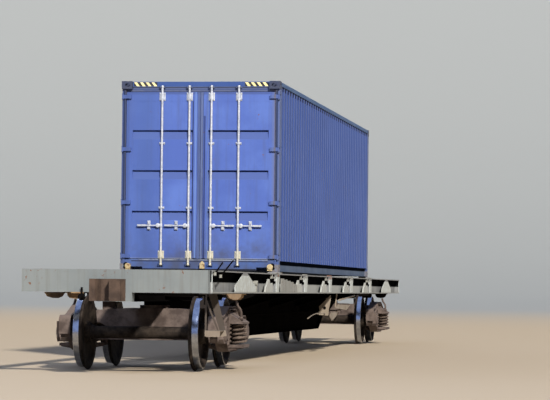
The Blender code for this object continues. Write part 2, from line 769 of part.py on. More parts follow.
# The wagon's frame
def centre_spine():
    """The fish-bellied box girder, its cross-bearers, the pivots and the coupler pockets."""
    end = HALF_FRAME - END_BEAM_DEPTH - SEAT
    lower = [(SPINE_DEEP_HALF, SPINE_DEEP), (SPINE_SHALLOW_HALF, SPINE_SHALLOW),
             (end, SPINE_SHALLOW)]
    bottom = [(-a, b) for a, b in reversed(lower)] + lower
    outline = bottom + [(end, SILL_TOP), (-end, SILL_TOP)]
    shape = bmesh.new()
    add_prism(shape, outline, "XZ", -SPINE_HALF, SPINE_HALF)
    made = piece("centre_spine", shape, "frame_grey")
    plates = bmesh.new()
    flange = bottom + [(a, b + SPINE_PLATE) for a, b in reversed(bottom)]
    add_prism(plates, flange, "XZ", -SPINE_FLANGE_HALF, SPINE_FLANGE_HALF)
    add_block(plates, (-end, end), (-SPINE_FLANGE_HALF, SPINE_FLANGE_HALF),
              (SILL_TOP - SPINE_PLATE, SILL_TOP))
    weld(made, plates)
    webs = bmesh.new()
    feet = bmesh.new()
    tip = SILL_WEB_PLACE - SILL_WEB - SEAT
    root = SPINE_HALF - OVERRUN
    top = SILL_TOP - BEARER_TOP_GAP
    steps = int(SPINE_SHALLOW_HALF / FRAME_BAY * 2)
    for k in range(-steps, steps + 1):
        x = k * FRAME_BAY / 2
        deep = BEARER_ROOT if k % 2 == 0 and abs(x) < SPINE_SHALLOW_HALF else BEARER_TIP
        for side in (1, -1):
            web = [(side * root, top), (side * tip, top), (side * tip, BEARER_TIP),
                   (side * root, deep)]
            add_prism(webs, web, "YZ", x - BEARER_WEB / 2, x + BEARER_WEB / 2)
            foot = [(side * root, deep), (side * tip, BEARER_TIP),
                    (side * tip, BEARER_TIP + BEARER_PLATE), (side * root, deep + BEARER_PLATE)]
            add_prism(feet, foot, "YZ", x - BEARER_FLANGE / 2, x + BEARER_FLANGE / 2)
    weld(made, webs)
    weld(made, feet)
    pivots = bmesh.new()
    for x in (BOGIE_CENTRES / 2, -BOGIE_CENTRES / 2):
        disc = [(BOWL_FLOOR + SEAT, PIVOT_RADIUS), (SPINE_SHALLOW + OVERRUN, PIVOT_RADIUS)]
        add_turned(pivots, disc, WHEEL_FACETS, "Z", (x, 0, 0))
    weld(made, pivots)
    pockets = bmesh.new()
    for way in (1, -1):
        add_block(pockets, sorted((way * (end + OVERRUN), way * (end - COUPLER_POCKET_DEPTH))),
                  (-COUPLER_POCKET_HALF, COUPLER_POCKET_HALF),
                  (COUPLER_AXIS - COUPLER_POCKET_HEIGHT / 2,
                   COUPLER_AXIS + COUPLER_POCKET_HEIGHT / 2))
    cut(made, pockets)


def add_footstep(made, side):
    """The shunter's step under a corner of the frame: a channel board on two hangers."""
    half = STEP_PLATE / 2
    near, far = side * STEP_NEAR, side * STEP_FAR
    low, high = STEP_TOP - STEP_SKIRT, SILL_BOTTOM - half
    board = bmesh.new()
    channel = [(near, low), (near, STEP_TOP), (far, STEP_TOP), (far, low),
               (far + side * STEP_PLATE, low), (far + side * STEP_PLATE, STEP_TOP - STEP_PLATE),
               (near - side * STEP_PLATE, STEP_TOP - STEP_PLATE), (near - side * STEP_PLATE, low)]
    add_prism(board, channel, "XZ", side * (STEP_INNER + STEP_BAR / 2), side * STEP_OUTER)
    head = bmesh.new()
    add_block(head, sorted((near + side * STEP_PLATE, far - side * STEP_PLATE)),
              sorted((side * STEP_ROOT, side * BODY_BOLSTER_OUTER)),
              (SILL_BOTTOM - STEP_PLATE, SILL_BOTTOM + OVERRUN / 2))
    hangers = bmesh.new()
    braces = bmesh.new()
    ear = STEP_INNER - STEP_EAR
    hook = [(STEP_INNER - STEP_STEM, high), (STEP_INNER + STEP_BAR, high),
            (STEP_INNER + STEP_BAR, low + half), (STEP_INNER, low + half),
            (STEP_INNER, STEP_EAR_LOW), (ear, STEP_EAR_LOW), (ear, STEP_EAR_HIGH - STEP_BAR),
            (STEP_INNER - STEP_STEM, STEP_EAR_HIGH)]
    wide = [(STEP_HEAD, high), (STEP_HEAD + STEP_HEAD_BAR, high),
            (STEP_WIDE_FOOT + STEP_WIDE_BAR, low + half), (STEP_WIDE_FOOT, low + half)]
    brace_top, brace_low = STEP_EAR_HIGH, STEP_TOP - STEP_PLATE
    brace = [(STEP_INNER, brace_top), (STEP_INNER + STEP_BAR, brace_top),
             (STEP_OUTER - half, brace_low), (STEP_OUTER - half - STEP_BAR, brace_low)]
    for parts, outline, x, thin in ((hangers, hook, near, half), (hangers, wide, far, half),
                                    (braces, brace, near, half / 2)):
        add_prism(parts, [(side * y, z) for y, z in outline], "YZ", x - thin, x + thin)
    for parts in (hangers, board, braces, head):
        weld(made, parts)


def side_sill(name, side):
    """A channel with its flanges outward, tapered brackets between them and gussets at the bogies."""
    end = HALF_FRAME - END_BEAM_DEPTH - SEAT
    inner = SILL_WEB_PLACE - SILL_WEB
    channel = [
        (inner, SILL_BOTTOM), (SILL_OUTER, SILL_BOTTOM), (SILL_OUTER, SILL_BOTTOM + SILL_PLATE),
        (SILL_WEB_PLACE, SILL_BOTTOM + SILL_PLATE), (SILL_WEB_PLACE, SILL_TOP - SILL_PLATE),
        (SILL_OUTER, SILL_TOP - SILL_PLATE), (SILL_OUTER, SILL_TOP), (inner, SILL_TOP),
    ]
    shape = bmesh.new()
    add_prism(shape, [(side * y, z) for y, z in channel], "YZ", -end, end)
    made = piece(name, shape, "frame_grey")
    low = SILL_BOTTOM + SILL_PLATE / 2
    high = SILL_TOP - SILL_PLATE / 2
    faces = sorted((side * (SILL_OUTER - BRACKET_PLATE), side * SILL_OUTER))
    plates = bmesh.new()
    ribs = bmesh.new()
    depth = sorted((side * (SILL_WEB_PLACE - OVERRUN / 2), side * (SILL_OUTER - OVERRUN / 2)))
    for k in range(-2, 3):
        x = k * FRAME_BAY
        outline = [(x - BRACKET_FOOT_HALF, low), (x + BRACKET_FOOT_HALF, low),
                   (x + BRACKET_HEAD_HALF, high), (x - BRACKET_FOOT_HALF, high)]
        add_prism(plates, outline, "XZ", *faces)
        for way in (1, -1):
            rib = x + way * (BRACKET_FOOT_HALF - BRACKET_PLATE)
            rib_top = high - max(way, 0) * RIB_GAP
            add_block(ribs, (rib - BRACKET_PLATE / 2, rib + BRACKET_PLATE / 2), depth,
                      (low, rib_top))
    for way in (1, -1):
        x = way * GUSSET_PLACE
        outline = [(x - GUSSET_HALF, low), (x + GUSSET_HALF, low),
                   (x + GUSSET_HALF, low + GUSSET_SHOULDER), (x + GUSSET_HEAD_HALF, high),
                   (x - GUSSET_HEAD_HALF, high), (x - GUSSET_HALF, low + GUSSET_SHOULDER)]
        add_prism(plates, outline, "XZ", *faces)
        for rib in (x, way * (end - BRACKET_PLATE / 2)):
            add_block(ribs, (rib - BRACKET_PLATE / 2, rib + BRACKET_PLATE / 2), depth, (low, high))
    weld(made, plates)
    weld(made, ribs)
    stops = bmesh.new()
    for k in range(-2, 3):
        x = k * FRAME_BAY - BRACKET_FOOT_HALF - STOP_REACH / 2
        post = sorted((side * (SILL_OUTER - STOP_WIDTH), side * (SILL_OUTER - OVERRUN / 2)))
        add_block(stops, (x - STOP_HALF_LENGTH, x + STOP_HALF_LENGTH), post,
                  (high - STOP_HEIGHT, high))
        add_block(stops, (x - STOP_HALF_LENGTH / 2, x + STOP_REACH),
                  sorted((post[0] + OVERRUN, post[1] - OVERRUN)),
                  (high - STOP_HEIGHT + OVERRUN, high - STOP_HEIGHT / 2))
    weld(made, stops)
    add_footstep(made, side)
    seats = bmesh.new()
    pins = bmesh.new()
    seat_top = BOX_FLOOR_LEVEL - SEAT
    for way in (1, -1):
        x = way * (HALF_BOX - PIN_INSET_X)
        y = side * (HALF_WIDTH - PIN_INSET_Y)
        add_block(seats, (x - PEDESTAL_PLATE_HALF, x + PEDESTAL_PLATE_HALF),
                  sorted((y - side * PEDESTAL_PLATE_HALF / 2, side * SILL_OUTER)),
                  (SILL_TOP - SILL_PLATE / 2, seat_top))
        add_block(pins, (x - PIN_HALF_LENGTH, x + PIN_HALF_LENGTH),
                  (y - PIN_HALF_WIDTH, y + PIN_HALF_WIDTH),
                  (seat_top - OVERRUN, seat_top + PIN_HEIGHT))
    weld(made, seats)
    weld(made, pins)


def body_bolster(name, x, side):
    """Half of the beam over a bogie, from the spine to the jacking pad under the sill."""
    low, high = BODY_BOLSTER_BOTTOM, SILL_BOTTOM - SEAT
    shoulder = (low + high) / 2
    belly, half = BODY_BOLSTER_BELLY_HALF, BODY_BOLSTER_HALF
    outline = [(-belly, low), (belly, low), (half, shoulder), (half, high), (-half, high),
               (-half, shoulder)]
    root = side * (SPINE_HALF + SEAT)
    shape = bmesh.new()
    add_prism(shape, shifted(outline, x, 0), "XZ", root, side * BODY_BOLSTER_DEEP_END)
    made = piece(name, shape, "frame_grey")
    outer = bmesh.new()
    add_block(outer, (x - belly, x + belly),
              sorted((side * (BODY_BOLSTER_DEEP_END - OVERRUN), side * BODY_BOLSTER_OUTER)),
              (high - BODY_BOLSTER_PLATE, high))
    weld(made, outer)
    pad = bmesh.new()
    pad_top = high - BODY_BOLSTER_PLATE / 2
    round_belly = [(side * (PAD_CENTRE + across * PAD_HALF), pad_top - down * PAD_DEPTH)
                   for across, down in PAD_SHARES]
    add_prism(pad, round_belly, "YZ", x - PAD_HALF_LENGTH, x + PAD_HALF_LENGTH)
    weld(made, pad)
    upper = bmesh.new()
    add_block(upper, (x - belly, x + belly),
              sorted((root, side * (SILL_WEB_PLACE - SILL_WEB - SEAT))),
              (high - OVERRUN, SILL_TOP - SPINE_PLATE - SEAT))
    weld(made, upper)


def end_beam(name, way):
    """The box beam across the frame's end, deeper in the middle round the coupler's opening."""
    outline = [
        (-END_BEAM_HALF, SILL_TOP), (-END_BEAM_HALF, SILL_BOTTOM), (-STRIKER_HALF, SILL_BOTTOM),
        (-STRIKER_HALF, SPINE_SHALLOW), (STRIKER_HALF, SPINE_SHALLOW),
        (STRIKER_HALF, SILL_BOTTOM), (END_BEAM_HALF, SILL_BOTTOM), (END_BEAM_HALF, SILL_TOP),
    ]
    inner, outer = way * (HALF_FRAME - END_BEAM_DEPTH), way * HALF_FRAME
    shape = bmesh.new()
    add_prism(shape, outline, "YZ", inner, outer)
    made = piece(name, shape, "end_grey")
    opening = bmesh.new()
    add_block(opening, sorted((inner - way * OVERRUN, outer + way * OVERRUN)),
              (-COUPLER_POCKET_HALF, COUPLER_POCKET_HALF),
              (COUPLER_AXIS - COUPLER_POCKET_HEIGHT / 2, COUPLER_AXIS + COUPLER_POCKET_HEIGHT / 2))
    cut(made, opening)


def coupler(name, way):
    """An automatic claw coupler: a head with a large and a small tooth on a square shank."""
    face = COUPLING_LINE
    back = face - COUPLER_HEAD_LENGTH
    head = [(back + ahead * COUPLER_HEAD_LENGTH, aside * COUPLER_HEAD_HALF)
            for ahead, aside in COUPLER_HEAD_SHARES]
    shape = bmesh.new()
    add_prism(shape, [(way * a, way * b) for a, b in head], "XY",
              COUPLER_AXIS - COUPLER_HEAD_HEIGHT / 2, COUPLER_AXIS + COUPLER_HEAD_HEIGHT / 2)
    made = piece(name, shape, "bogie_brown", (way * face, 0, COUPLER_AXIS))
    rear = bmesh.new()
    pocket_end = HALF_FRAME - END_BEAM_DEPTH - SEAT - COUPLER_POCKET_DEPTH
    add_block(rear, sorted((way * (back + OVERRUN), way * (pocket_end + COUPLER_YOKE_HALF))),
              (-COUPLER_SHANK_HALF, COUPLER_SHANK_HALF),
              (COUPLER_AXIS - COUPLER_SHANK_HEIGHT / 2, COUPLER_AXIS + COUPLER_SHANK_HEIGHT / 2))
    weld(made, rear)
    yoke = bmesh.new()
    yoke_end = HALF_FRAME - END_BEAM_DEPTH - COUPLER_YOKE_HALF
    add_block(yoke, sorted((way * (pocket_end + SEAT), way * yoke_end)),
              (-COUPLER_YOKE_HALF, COUPLER_YOKE_HALF),
              (COUPLER_AXIS - COUPLER_POCKET_HEIGHT / 2 + SEAT,
               COUPLER_AXIS + COUPLER_POCKET_HEIGHT / 2 - SEAT))
    weld(made, yoke)


def air_reservoir():
    """The long air tank beside the spine, hung from it by two plates."""
    dish = RESERVOIR_DISH
    half = RESERVOIR_LENGTH / 2
    profile = [(-half - dish, RESERVOIR_RADIUS / 3), (-half, RESERVOIR_RADIUS),
               (half, RESERVOIR_RADIUS), (half + dish, RESERVOIR_RADIUS / 3)]
    centre = (RESERVOIR_X + FRAME_BAY / 4, RESERVOIR_Y, RESERVOIR_Z)
    shape = bmesh.new()
    add_turned(shape, profile, WHEEL_FACETS, "X", centre)
    made = piece("air_reservoir", shape, "frame_grey", centre)
    straps = bmesh.new()
    for way in (1, -1):
        x = centre[0] + way * half / 2
        add_block(straps, (x - HANGER_PLATE, x + HANGER_PLATE),
                  (SPINE_HALF + SEAT, RESERVOIR_Y + RESERVOIR_RADIUS / 2),
                  (RESERVOIR_Z - RESERVOIR_RADIUS / 2, RESERVOIR_Z + RESERVOIR_RADIUS / 2))
    weld(made, straps)
    round_shading(made)


def brake_cylinder():
    """The brake cylinder and its push rod, on a bracket beside the spine."""
    centre = (CYLINDER_X, -RESERVOIR_Y, RESERVOIR_Z)
    half = CYLINDER_LENGTH / 2
    profile = [
        (-half, CYLINDER_RADIUS), (half, CYLINDER_RADIUS),
        (half + CYLINDER_ROD_RADIUS * 2, CYLINDER_RADIUS / 2),
        (half + CYLINDER_ROD_RADIUS * 2, CYLINDER_ROD_RADIUS),
        (half + CYLINDER_ROD_LENGTH, CYLINDER_ROD_RADIUS),
    ]
    shape = bmesh.new()
    add_turned(shape, profile, WHEEL_FACETS, "X", centre)
    made = piece("brake_cylinder", shape, "frame_grey", centre)
    plate = bmesh.new()
    x = centre[0] - half
    add_block(plate, (x, x + HANGER_PLATE * 2),
              (-RESERVOIR_Y - CYLINDER_RADIUS, -SPINE_HALF - SEAT),
              (RESERVOIR_Z - CYLINDER_RADIUS, RESERVOIR_Z + CYLINDER_RADIUS))
    weld(made, plate)
    round_shading(made)


# The container
def corner_castings(target, way):
    """Weld the four cast corners to one end frame, then hollow them and cut their holes."""
    solid = bmesh.new()
    hollow = bmesh.new()
    for side in (1, -1):
        for low in (BOX_FLOOR_LEVEL, BOX_TOP - CASTING_HEIGHT):
            xs = sorted((way * CASTING_FACE, way * HALF_BOX))
            ys = sorted((side * (HALF_WIDTH - CASTING_WIDTH), side * HALF_WIDTH))
            add_block(solid, xs, ys, (low, low + CASTING_HEIGHT))
            add_block(hollow, (xs[0] + CASTING_WALL, xs[1] - CASTING_WALL),
                      (ys[0] + CASTING_WALL, ys[1] - CASTING_WALL),
                      (low + CASTING_WALL, low + CASTING_HEIGHT - CASTING_WALL))
    weld(target, solid)
    cut(target, hollow)
    tops = bmesh.new()
    ends = bmesh.new()
    sides = bmesh.new()
    for side in (1, -1):
        x = way * (HALF_BOX - PIN_INSET_X)
        y = side * (HALF_WIDTH - PIN_INSET_Y)
        for low, outer in ((BOX_FLOOR_LEVEL, BOX_FLOOR_LEVEL),
                           (BOX_TOP - CASTING_HEIGHT, BOX_TOP)):
            middle = low + CASTING_HEIGHT / 2
            reach = math.copysign(CASTING_WALL + OVERRUN, middle - outer)
            past = math.copysign(OVERRUN, outer - middle)
            add_prism(tops, shifted(slot_outline(HOLE_TOP_LENGTH, HOLE_TOP_WIDTH), x, y), "XY",
                      *sorted((outer + past, outer + reach)))
            slot = slot_outline(HOLE_END_LENGTH, HOLE_END_WIDTH)
            add_prism(ends, shifted(slot, y, middle), "YZ",
                      *sorted((way * (HALF_BOX + OVERRUN), way * (HALF_BOX - CASTING_WALL - OVERRUN))))
            add_prism(sides, shifted(slot, x, middle), "XZ",
                      *sorted((side * (HALF_WIDTH + OVERRUN), side * (HALF_WIDTH - CASTING_WALL - OVERRUN))))
    cut(target, tops)
    cut(target, ends)
    cut(target, sides)


def door_frame():
    """The rear end frame: posts stepped round the doors, header, sill, lugs, keepers, castings.

    Beside each hinge the post is cut back, so that the hinge's blade lies in it when the door is
    swung right round to the container's side.
    """
    shape = bmesh.new()
    post_face = -(HALF_BOX - REAR_POST_INSET)
    notch_face = -(HALF_BOX - REAR_NOTCH_INSET)
    inner = HALF_WIDTH - POST_WIDTH
    low = BOX_FLOOR_LEVEL + CASTING_HEIGHT / 2
    high = BOX_TOP - CASTING_HEIGHT / 2
    rebate_face = -(HALF_BOX - POST_REBATE)
    edge = SKIN - POST_EDGE
    for side in (1, -1):
        outline = [
            (-CASTING_FACE, side * inner), (rebate_face, side * inner), (rebate_face, side * edge),
            (post_face, side * edge), (post_face, side * (SKIN - NOTCH_WIDTH)),
            (notch_face, side * (SKIN - NOTCH_WIDTH)), (notch_face, side * SKIN),
            (-CASTING_FACE, side * SKIN),
        ]
        add_prism(shape, outline, "XY", low, high)
    made = piece("container_door_frame", shape, "container_blue")
    beams = bmesh.new()
    header_face = -(HALF_BOX - HEADER_INSET)
    header_top = BOX_TOP - TOP_RAIL_DROP
    header = [
        (-CASTING_FACE, HEADER_BOTTOM), (header_face + HEADER_SINK, HEADER_BOTTOM),
        (header_face + HEADER_SINK, header_top - HEADER_LIP - HEADER_SINK),
        (header_face, header_top - HEADER_LIP), (header_face, header_top),
        (-CASTING_FACE, header_top),
    ]
    add_prism(beams, header, "XZ", -edge - OVERRUN, edge + OVERRUN)
    add_block(beams, (-(HALF_BOX - DOOR_SILL_INSET), -CASTING_FACE),
              (-edge - OVERRUN, edge + OVERRUN),
              (BOX_FLOOR_LEVEL + DOOR_SILL_BOTTOM, BOX_FLOOR_LEVEL + DOOR_SILL_TOP))
    weld(made, beams)
    cuts = bmesh.new()
    for side in (1, -1):
        add_block(cuts, (-HALF_BOX, -CASTING_FACE - CASTING_WALL),
                  sorted((side * (inner - SILL_CUT_LENGTH), side * (inner + OVERRUN))),
                  (BOX_FLOOR_LEVEL, BOX_FLOOR_LEVEL + SILL_CUT_HEIGHT))
        for level in HINGE_LEVELS:
            z = BOX_FLOOR_LEVEL + level
            add_block(cuts, (notch_face - OVERRUN, notch_face + HINGE_REST_LENGTH),
                      sorted((side * (HALF_WIDTH - HINGE_REST_DEPTH), side * (HALF_WIDTH + OVERRUN))),
                      (z - HINGE_REST_HALF, z + HINGE_REST_HALF))
    cut(made, cuts)
    corner_castings(made, -1)
    lugs = bmesh.new()
    lug_far = HINGE_HEIGHT / 2 + HINGE_LUG_GAP + HINGE_LUG
    for side in (1, -1):
        for level in HINGE_LEVELS:
            z = BOX_FLOOR_LEVEL + level
            for way in (1, -1):
                near = z + way * (HINGE_HEIGHT / 2 + HINGE_LUG_GAP)
                add_block(lugs, (-(HINGE_X + HINGE_RADIUS), notch_face + OVERRUN),
                          sorted((side * (HINGE_Y - HINGE_RADIUS), side * (HINGE_Y + HINGE_RADIUS))),
                          sorted((near, z + way * lug_far)))
        for place in BAR_PLACES:
            for way in (1, -1):
                near = side * place + way * (CAM_HALF + KEEPER_GAP)
                ys = sorted((near, near + way * KEEPER_LUG))
                top_z = BOX_FLOOR_LEVEL + BAR_TOP - CAM_HEIGHT / 2
                bottom_z = BOX_FLOOR_LEVEL + BAR_BOTTOM + CAM_HEIGHT / 2
                for z, inset in ((top_z, HEADER_INSET), (bottom_z, DOOR_SILL_INSET)):
                    face = -(HALF_BOX - inset)
                    add_block(lugs, (face - KEEPER_DEPTH, face + HEADER_SINK + OVERRUN), ys,
                              (z - KEEPER_HEIGHT / 2, z + KEEPER_HEIGHT / 2))
    weld(made, lugs)


def front_frame():
    """The closed end's frame: two posts, the rails between them and the castings."""
    shape = bmesh.new()
    inner = HALF_WIDTH - POST_WIDTH
    low = BOX_FLOOR_LEVEL + CASTING_HEIGHT / 2
    high = BOX_TOP - CASTING_HEIGHT / 2
    for side in (1, -1):
        add_block(shape, (CASTING_FACE, HALF_BOX - FRONT_POST_INSET),
                  sorted((side * inner, side * SKIN)), (low, high))
    made = piece("container_front_frame", shape, "container_blue")
    beams = bmesh.new()
    for z in ((BOX_TOP - TOP_RAIL_DROP - FRONT_RAIL_HEIGHT, BOX_TOP - TOP_RAIL_DROP),
              (BOX_FLOOR_LEVEL + RAIL_BOTTOM, BOX_FLOOR_LEVEL + RAIL_BOTTOM + RAIL_HEIGHT)):
        add_block(beams, (CASTING_FACE, HALF_BOX - FRONT_POST_INSET),
                  (-inner - OVERRUN, inner + OVERRUN), z)
    weld(made, beams)
    corner_castings(made, 1)


def front_wall():
    """The folded end wall between the front posts."""
    inner = HALF_WIDTH - POST_WIDTH - SEAT
    line = corrugated_outline(2 * inner, FRONT_PITCH, FRONT_DEPTH, FRONT_OUTER_FLAT,
                              FRONT_INNER_FLAT, WALL_SHEET)
    face = HALF_BOX - FRONT_POST_INSET
    outline = [(face + v, u - inner) for u, v in line]
    shape = bmesh.new()
    add_prism(shape, outline, "XY", BOX_FLOOR_LEVEL + RAIL_BOTTOM + RAIL_HEIGHT + SEAT,
              BOX_TOP - TOP_RAIL_DROP - FRONT_RAIL_HEIGHT - SEAT)
    piece("container_front_wall", shape, "container_blue")


def side_wall(name, side):
    """The folded side wall between the bottom rail and the top rail."""
    half = CASTING_FACE - SEAT
    line = corrugated_outline(2 * half, WALL_PITCH, WALL_DEPTH, WALL_OUTER_FLAT,
                              WALL_INNER_FLAT, WALL_SHEET)
    outline = [(u - half, side * (SKIN + v)) for u, v in line]
    shape = bmesh.new()
    add_prism(shape, outline, "XY", BOX_FLOOR_LEVEL + RAIL_BOTTOM + RAIL_HEIGHT + SEAT,
              BOX_TOP - TOP_RAIL_DROP - TOP_RAIL - SEAT)
    piece(name, shape, "side_blue")


def top_rail(name, side):
    shape = bmesh.new()
    half = CASTING_FACE - SEAT
    add_block(shape, (-half, half), sorted((side * (SKIN - TOP_RAIL), side * SKIN)),
              (BOX_TOP - TOP_RAIL_DROP - TOP_RAIL, BOX_TOP - TOP_RAIL_DROP))
    piece(name, shape, "side_blue")


def roof():
    """The roof sheet, with shallow folds across it, between the top rails."""
    half = CASTING_FACE - SEAT
    line = corrugated_outline(2 * half, ROOF_PITCH, ROOF_DEPTH, ROOF_OUTER_FLAT,
                              ROOF_INNER_FLAT, WALL_SHEET)
    top = BOX_TOP - ROOF_DROP
    shape = bmesh.new()
    edge = SKIN - TOP_RAIL - SEAT
    add_prism(shape, shifted(line, -half, top), "XZ", -edge, edge)
    piece("container_roof", shape, "container_blue")


def container_base():
    """The two bottom side rails, open outward, with the cross-members between them."""
    half = CASTING_FACE - SEAT
    low = BOX_FLOOR_LEVEL + RAIL_BOTTOM
    high = low + RAIL_HEIGHT
    web = SKIN - RAIL_WIDTH
    shape = bmesh.new()
    for side in (1, -1):
        channel = [
            (web, low), (SKIN, low), (SKIN, low + RAIL_SHEET), (web + RAIL_SHEET, low + RAIL_SHEET),
            (web + RAIL_SHEET, high - RAIL_SHEET), (SKIN, high - RAIL_SHEET), (SKIN, high),
            (web, high),
        ]
        add_prism(shape, [(side * y, z) for y, z in channel], "YZ", -half, half)
    made = piece("container_base", shape, "side_blue")
    members = bmesh.new()
    count = int(2 * half / MEMBER_PITCH)
    for k in range(count):
        x = (k - (count - 1) / 2) * MEMBER_PITCH
        a, b = x - MEMBER_WIDTH / 2, x + MEMBER_WIDTH / 2
        section = [
            (a, low), (b, low), (b, low + MEMBER_SHEET), (a + MEMBER_SHEET, low + MEMBER_SHEET),
            (a + MEMBER_SHEET, low + MEMBER_HEIGHT - MEMBER_SHEET),
            (b, low + MEMBER_HEIGHT - MEMBER_SHEET), (b, low + MEMBER_HEIGHT),
            (a, low + MEMBER_HEIGHT),
        ]
        edge = web + RAIL_SHEET / 2
        add_prism(members, section, "XZ", -edge, edge)
    weld(made, members)


def container_floor():
    """The boards inside, on the cross-members."""
    half = CASTING_FACE - SEAT
    low = BOX_FLOOR_LEVEL + RAIL_BOTTOM + MEMBER_HEIGHT + SEAT
    edge = SKIN - RAIL_WIDTH - SEAT
    shape = bmesh.new()
    add_block(shape, (-half, half), (-edge, edge), (low, low + FLOOR_THICKNESS))
    piece("container_floor", shape, "floor_wood")


def door_leaf(name, side, parent):
    """One door: stiles and rails, a strip along the joint, a sheet with pressed bands, hinges."""
    face, back = -LEAF_FACE, -LEAF_FACE + LEAF_THICKNESS
    shape = bmesh.new()
    outer = [(LEAF_JOINT_HALF, LEAF_BOTTOM), (LEAF_OUTER, LEAF_BOTTOM),
             (LEAF_OUTER, LEAF_TOP), (LEAF_JOINT_HALF, LEAF_TOP)]
    add_prism(shape, [(side * y, z) for y, z in outer], "YZ", face, back)
    hinge = (-HINGE_X, side * HINGE_Y, LEAF_BOTTOM)
    made = piece(name, shape, "container_blue", hinge, parent)
    left, right = LEAF_JOINT_HALF + LEAF_INNER_STILE, LEAF_OUTER - LEAF_OUTER_STILE
    low, high = LEAF_BOTTOM + LEAF_BOTTOM_RAIL, LEAF_TOP - LEAF_TOP_RAIL
    opening = bmesh.new()
    add_block(opening, (face - OVERRUN, back + OVERRUN), sorted((side * left, side * right)),
              (low, high))
    cut(made, opening)
    rebate = bmesh.new()
    add_block(rebate, (face - OVERRUN, face + JOINT_REBATE_DEPTH),
              sorted((0, side * JOINT_REBATE)), (LEAF_BOTTOM - OVERRUN, LEAF_TOP + OVERRUN))
    cut(made, rebate)
    strip = bmesh.new()
    add_block(strip, (face - JOINT_STRIP_HEIGHT, face + OVERRUN),
              sorted((side * (JOINT_REBATE + SEAT), side * JOINT_STRIP)),
              (LEAF_BOTTOM + OVERRUN, LEAF_TOP - OVERRUN))
    weld(made, strip)
    front = face + PANEL_SINK
    line = [(front, low - OVERRUN)]
    for level in sorted(BAND_TOPS):
        z = BOX_FLOOR_LEVEL + level
        line += [(front, z - BAND_HEIGHT), (front + BAND_DEPTH, z - BAND_LIP), (front, z)]
    line.append((front, high + OVERRUN))
    outline = line + [(a + PANEL_SHEET, b) for a, b in reversed(line)]
    panel = bmesh.new()
    add_prism(panel, outline, "XZ", *sorted((side * (left - OVERRUN), side * (right + OVERRUN))))
    weld(made, panel)
    hinges = bmesh.new()
    feet = bmesh.new()
    for level in HINGE_LEVELS:
        z = BOX_FLOOR_LEVEL + level
        ends = (z - HINGE_HEIGHT / 2, z + HINGE_HEIGHT / 2)
        add_turned(hinges, [(end, HINGE_RADIUS) for end in ends], HINGE_FACETS, "Z",
                   (-HINGE_X, side * HINGE_Y, 0))
        blade = (-HINGE_X - HINGE_BLADE, -HINGE_X)
        inset = HINGE_RADIUS / 2
        add_block(feet, blade, sorted((side * (LEAF_OUTER - HINGE_FOOT), side * HINGE_Y)),
                  (ends[0] + inset, ends[1] - inset))
    weld(made, feet)
    weld(made, hinges)
    legs = bmesh.new()
    for level in HINGE_LEVELS:
        z = BOX_FLOOR_LEVEL + level
        reach = HINGE_HEIGHT / 2 - HINGE_RADIUS / 2
        add_block(legs, (-HINGE_X - HINGE_BLADE, face + OVERRUN),
                  sorted((side * (LEAF_OUTER - HINGE_FOOT), side * (LEAF_OUTER - OVERRUN))),
                  (z - reach, z + reach))
    weld(made, legs)


def lock_bar(name, side, place, parent):
    """A vertical lock bar with its guides, cams, handle and handle catch."""
    y = side * place
    low, high = BOX_FLOOR_LEVEL + BAR_BOTTOM, BOX_FLOOR_LEVEL + BAR_TOP
    shape = bmesh.new()
    add_turned(shape, [(low, BAR_RADIUS), (high, BAR_RADIUS)], BAR_FACETS, "Z", (-BAR_X, y, 0))
    made = piece(name, shape, "zinc_grey", (-BAR_X, y, low), parent)
    seat = -LEAF_FACE - SEAT
    front = -BAR_X - BAR_RADIUS
    parts = bmesh.new()
    for level, height in zip(GUIDE_LEVELS, GUIDE_HEIGHTS):
        z = BOX_FLOOR_LEVEL + level
        add_block(parts, (seat - GUIDE_DEPTH * 2, seat), (y - GUIDE_HALF, y + GUIDE_HALF),
                  (z - height / 2, z + height / 2))
    for z in (low, high - CAM_HEIGHT):
        add_block(parts, (front + OVERRUN / 4, -BAR_X + BAR_RADIUS), (y - CAM_HALF, y + CAM_HALF),
                  (z + OVERRUN / 4, z + CAM_HEIGHT - OVERRUN / 4))
    z = BOX_FLOOR_LEVEL + HANDLE_LEVEL
    reach = side * HANDLE_LENGTH
    handle_front = -HALF_BOX + HANDLE_THICKNESS / 4
    add_block(parts, (handle_front, handle_front + HANDLE_THICKNESS),
              sorted((y - side * BAR_RADIUS / 2, y + reach)),
              (z - HANDLE_HEIGHT / 2, z + HANDLE_HEIGHT / 2))
    weld(made, parts)
    catch = bmesh.new()
    add_block(catch, (handle_front + HANDLE_THICKNESS / 2, seat),
              (y + side * CATCH_PLACE - CATCH_HALF, y + side * CATCH_PLACE + CATCH_HALF),
              (z - CATCH_HEIGHT / 2, z + CATCH_HEIGHT / 2))
    weld(made, catch)
    round_shading(made)


def container():
    door_frame()
    front_frame()
    front_wall()
    roof()
    container_base()
    container_floor()
    number = 1
    for word, side in (("left", 1), ("right", -1)):
        side_wall("container_side_wall_" + word, side)
        top_rail("container_top_rail_" + word, side)
        hinge = pivot("door_" + word + "_hinge", (-HINGE_X, side * HINGE_Y, LEAF_BOTTOM))
        door_leaf("door_leaf_" + word, side, hinge)
        for place in sorted(BAR_PLACES, reverse=side > 0):
            lock_bar(f"lock_bar_{number}", side, place, hinge)
            number += 1


def wagon_frame():
    centre_spine()
    side_sill("side_sill_left", 1)
    side_sill("side_sill_right", -1)
    for word, way in (("near", -1), ("far", 1)):
        for side_word, side in (("left", 1), ("right", -1)):
            body_bolster(f"body_bolster_{word}_{side_word}", way * BOGIE_CENTRES / 2, side)
        end_beam("end_beam_" + word, way)
        coupler("coupler_" + word, way)
    air_reservoir()
    brake_cylinder()


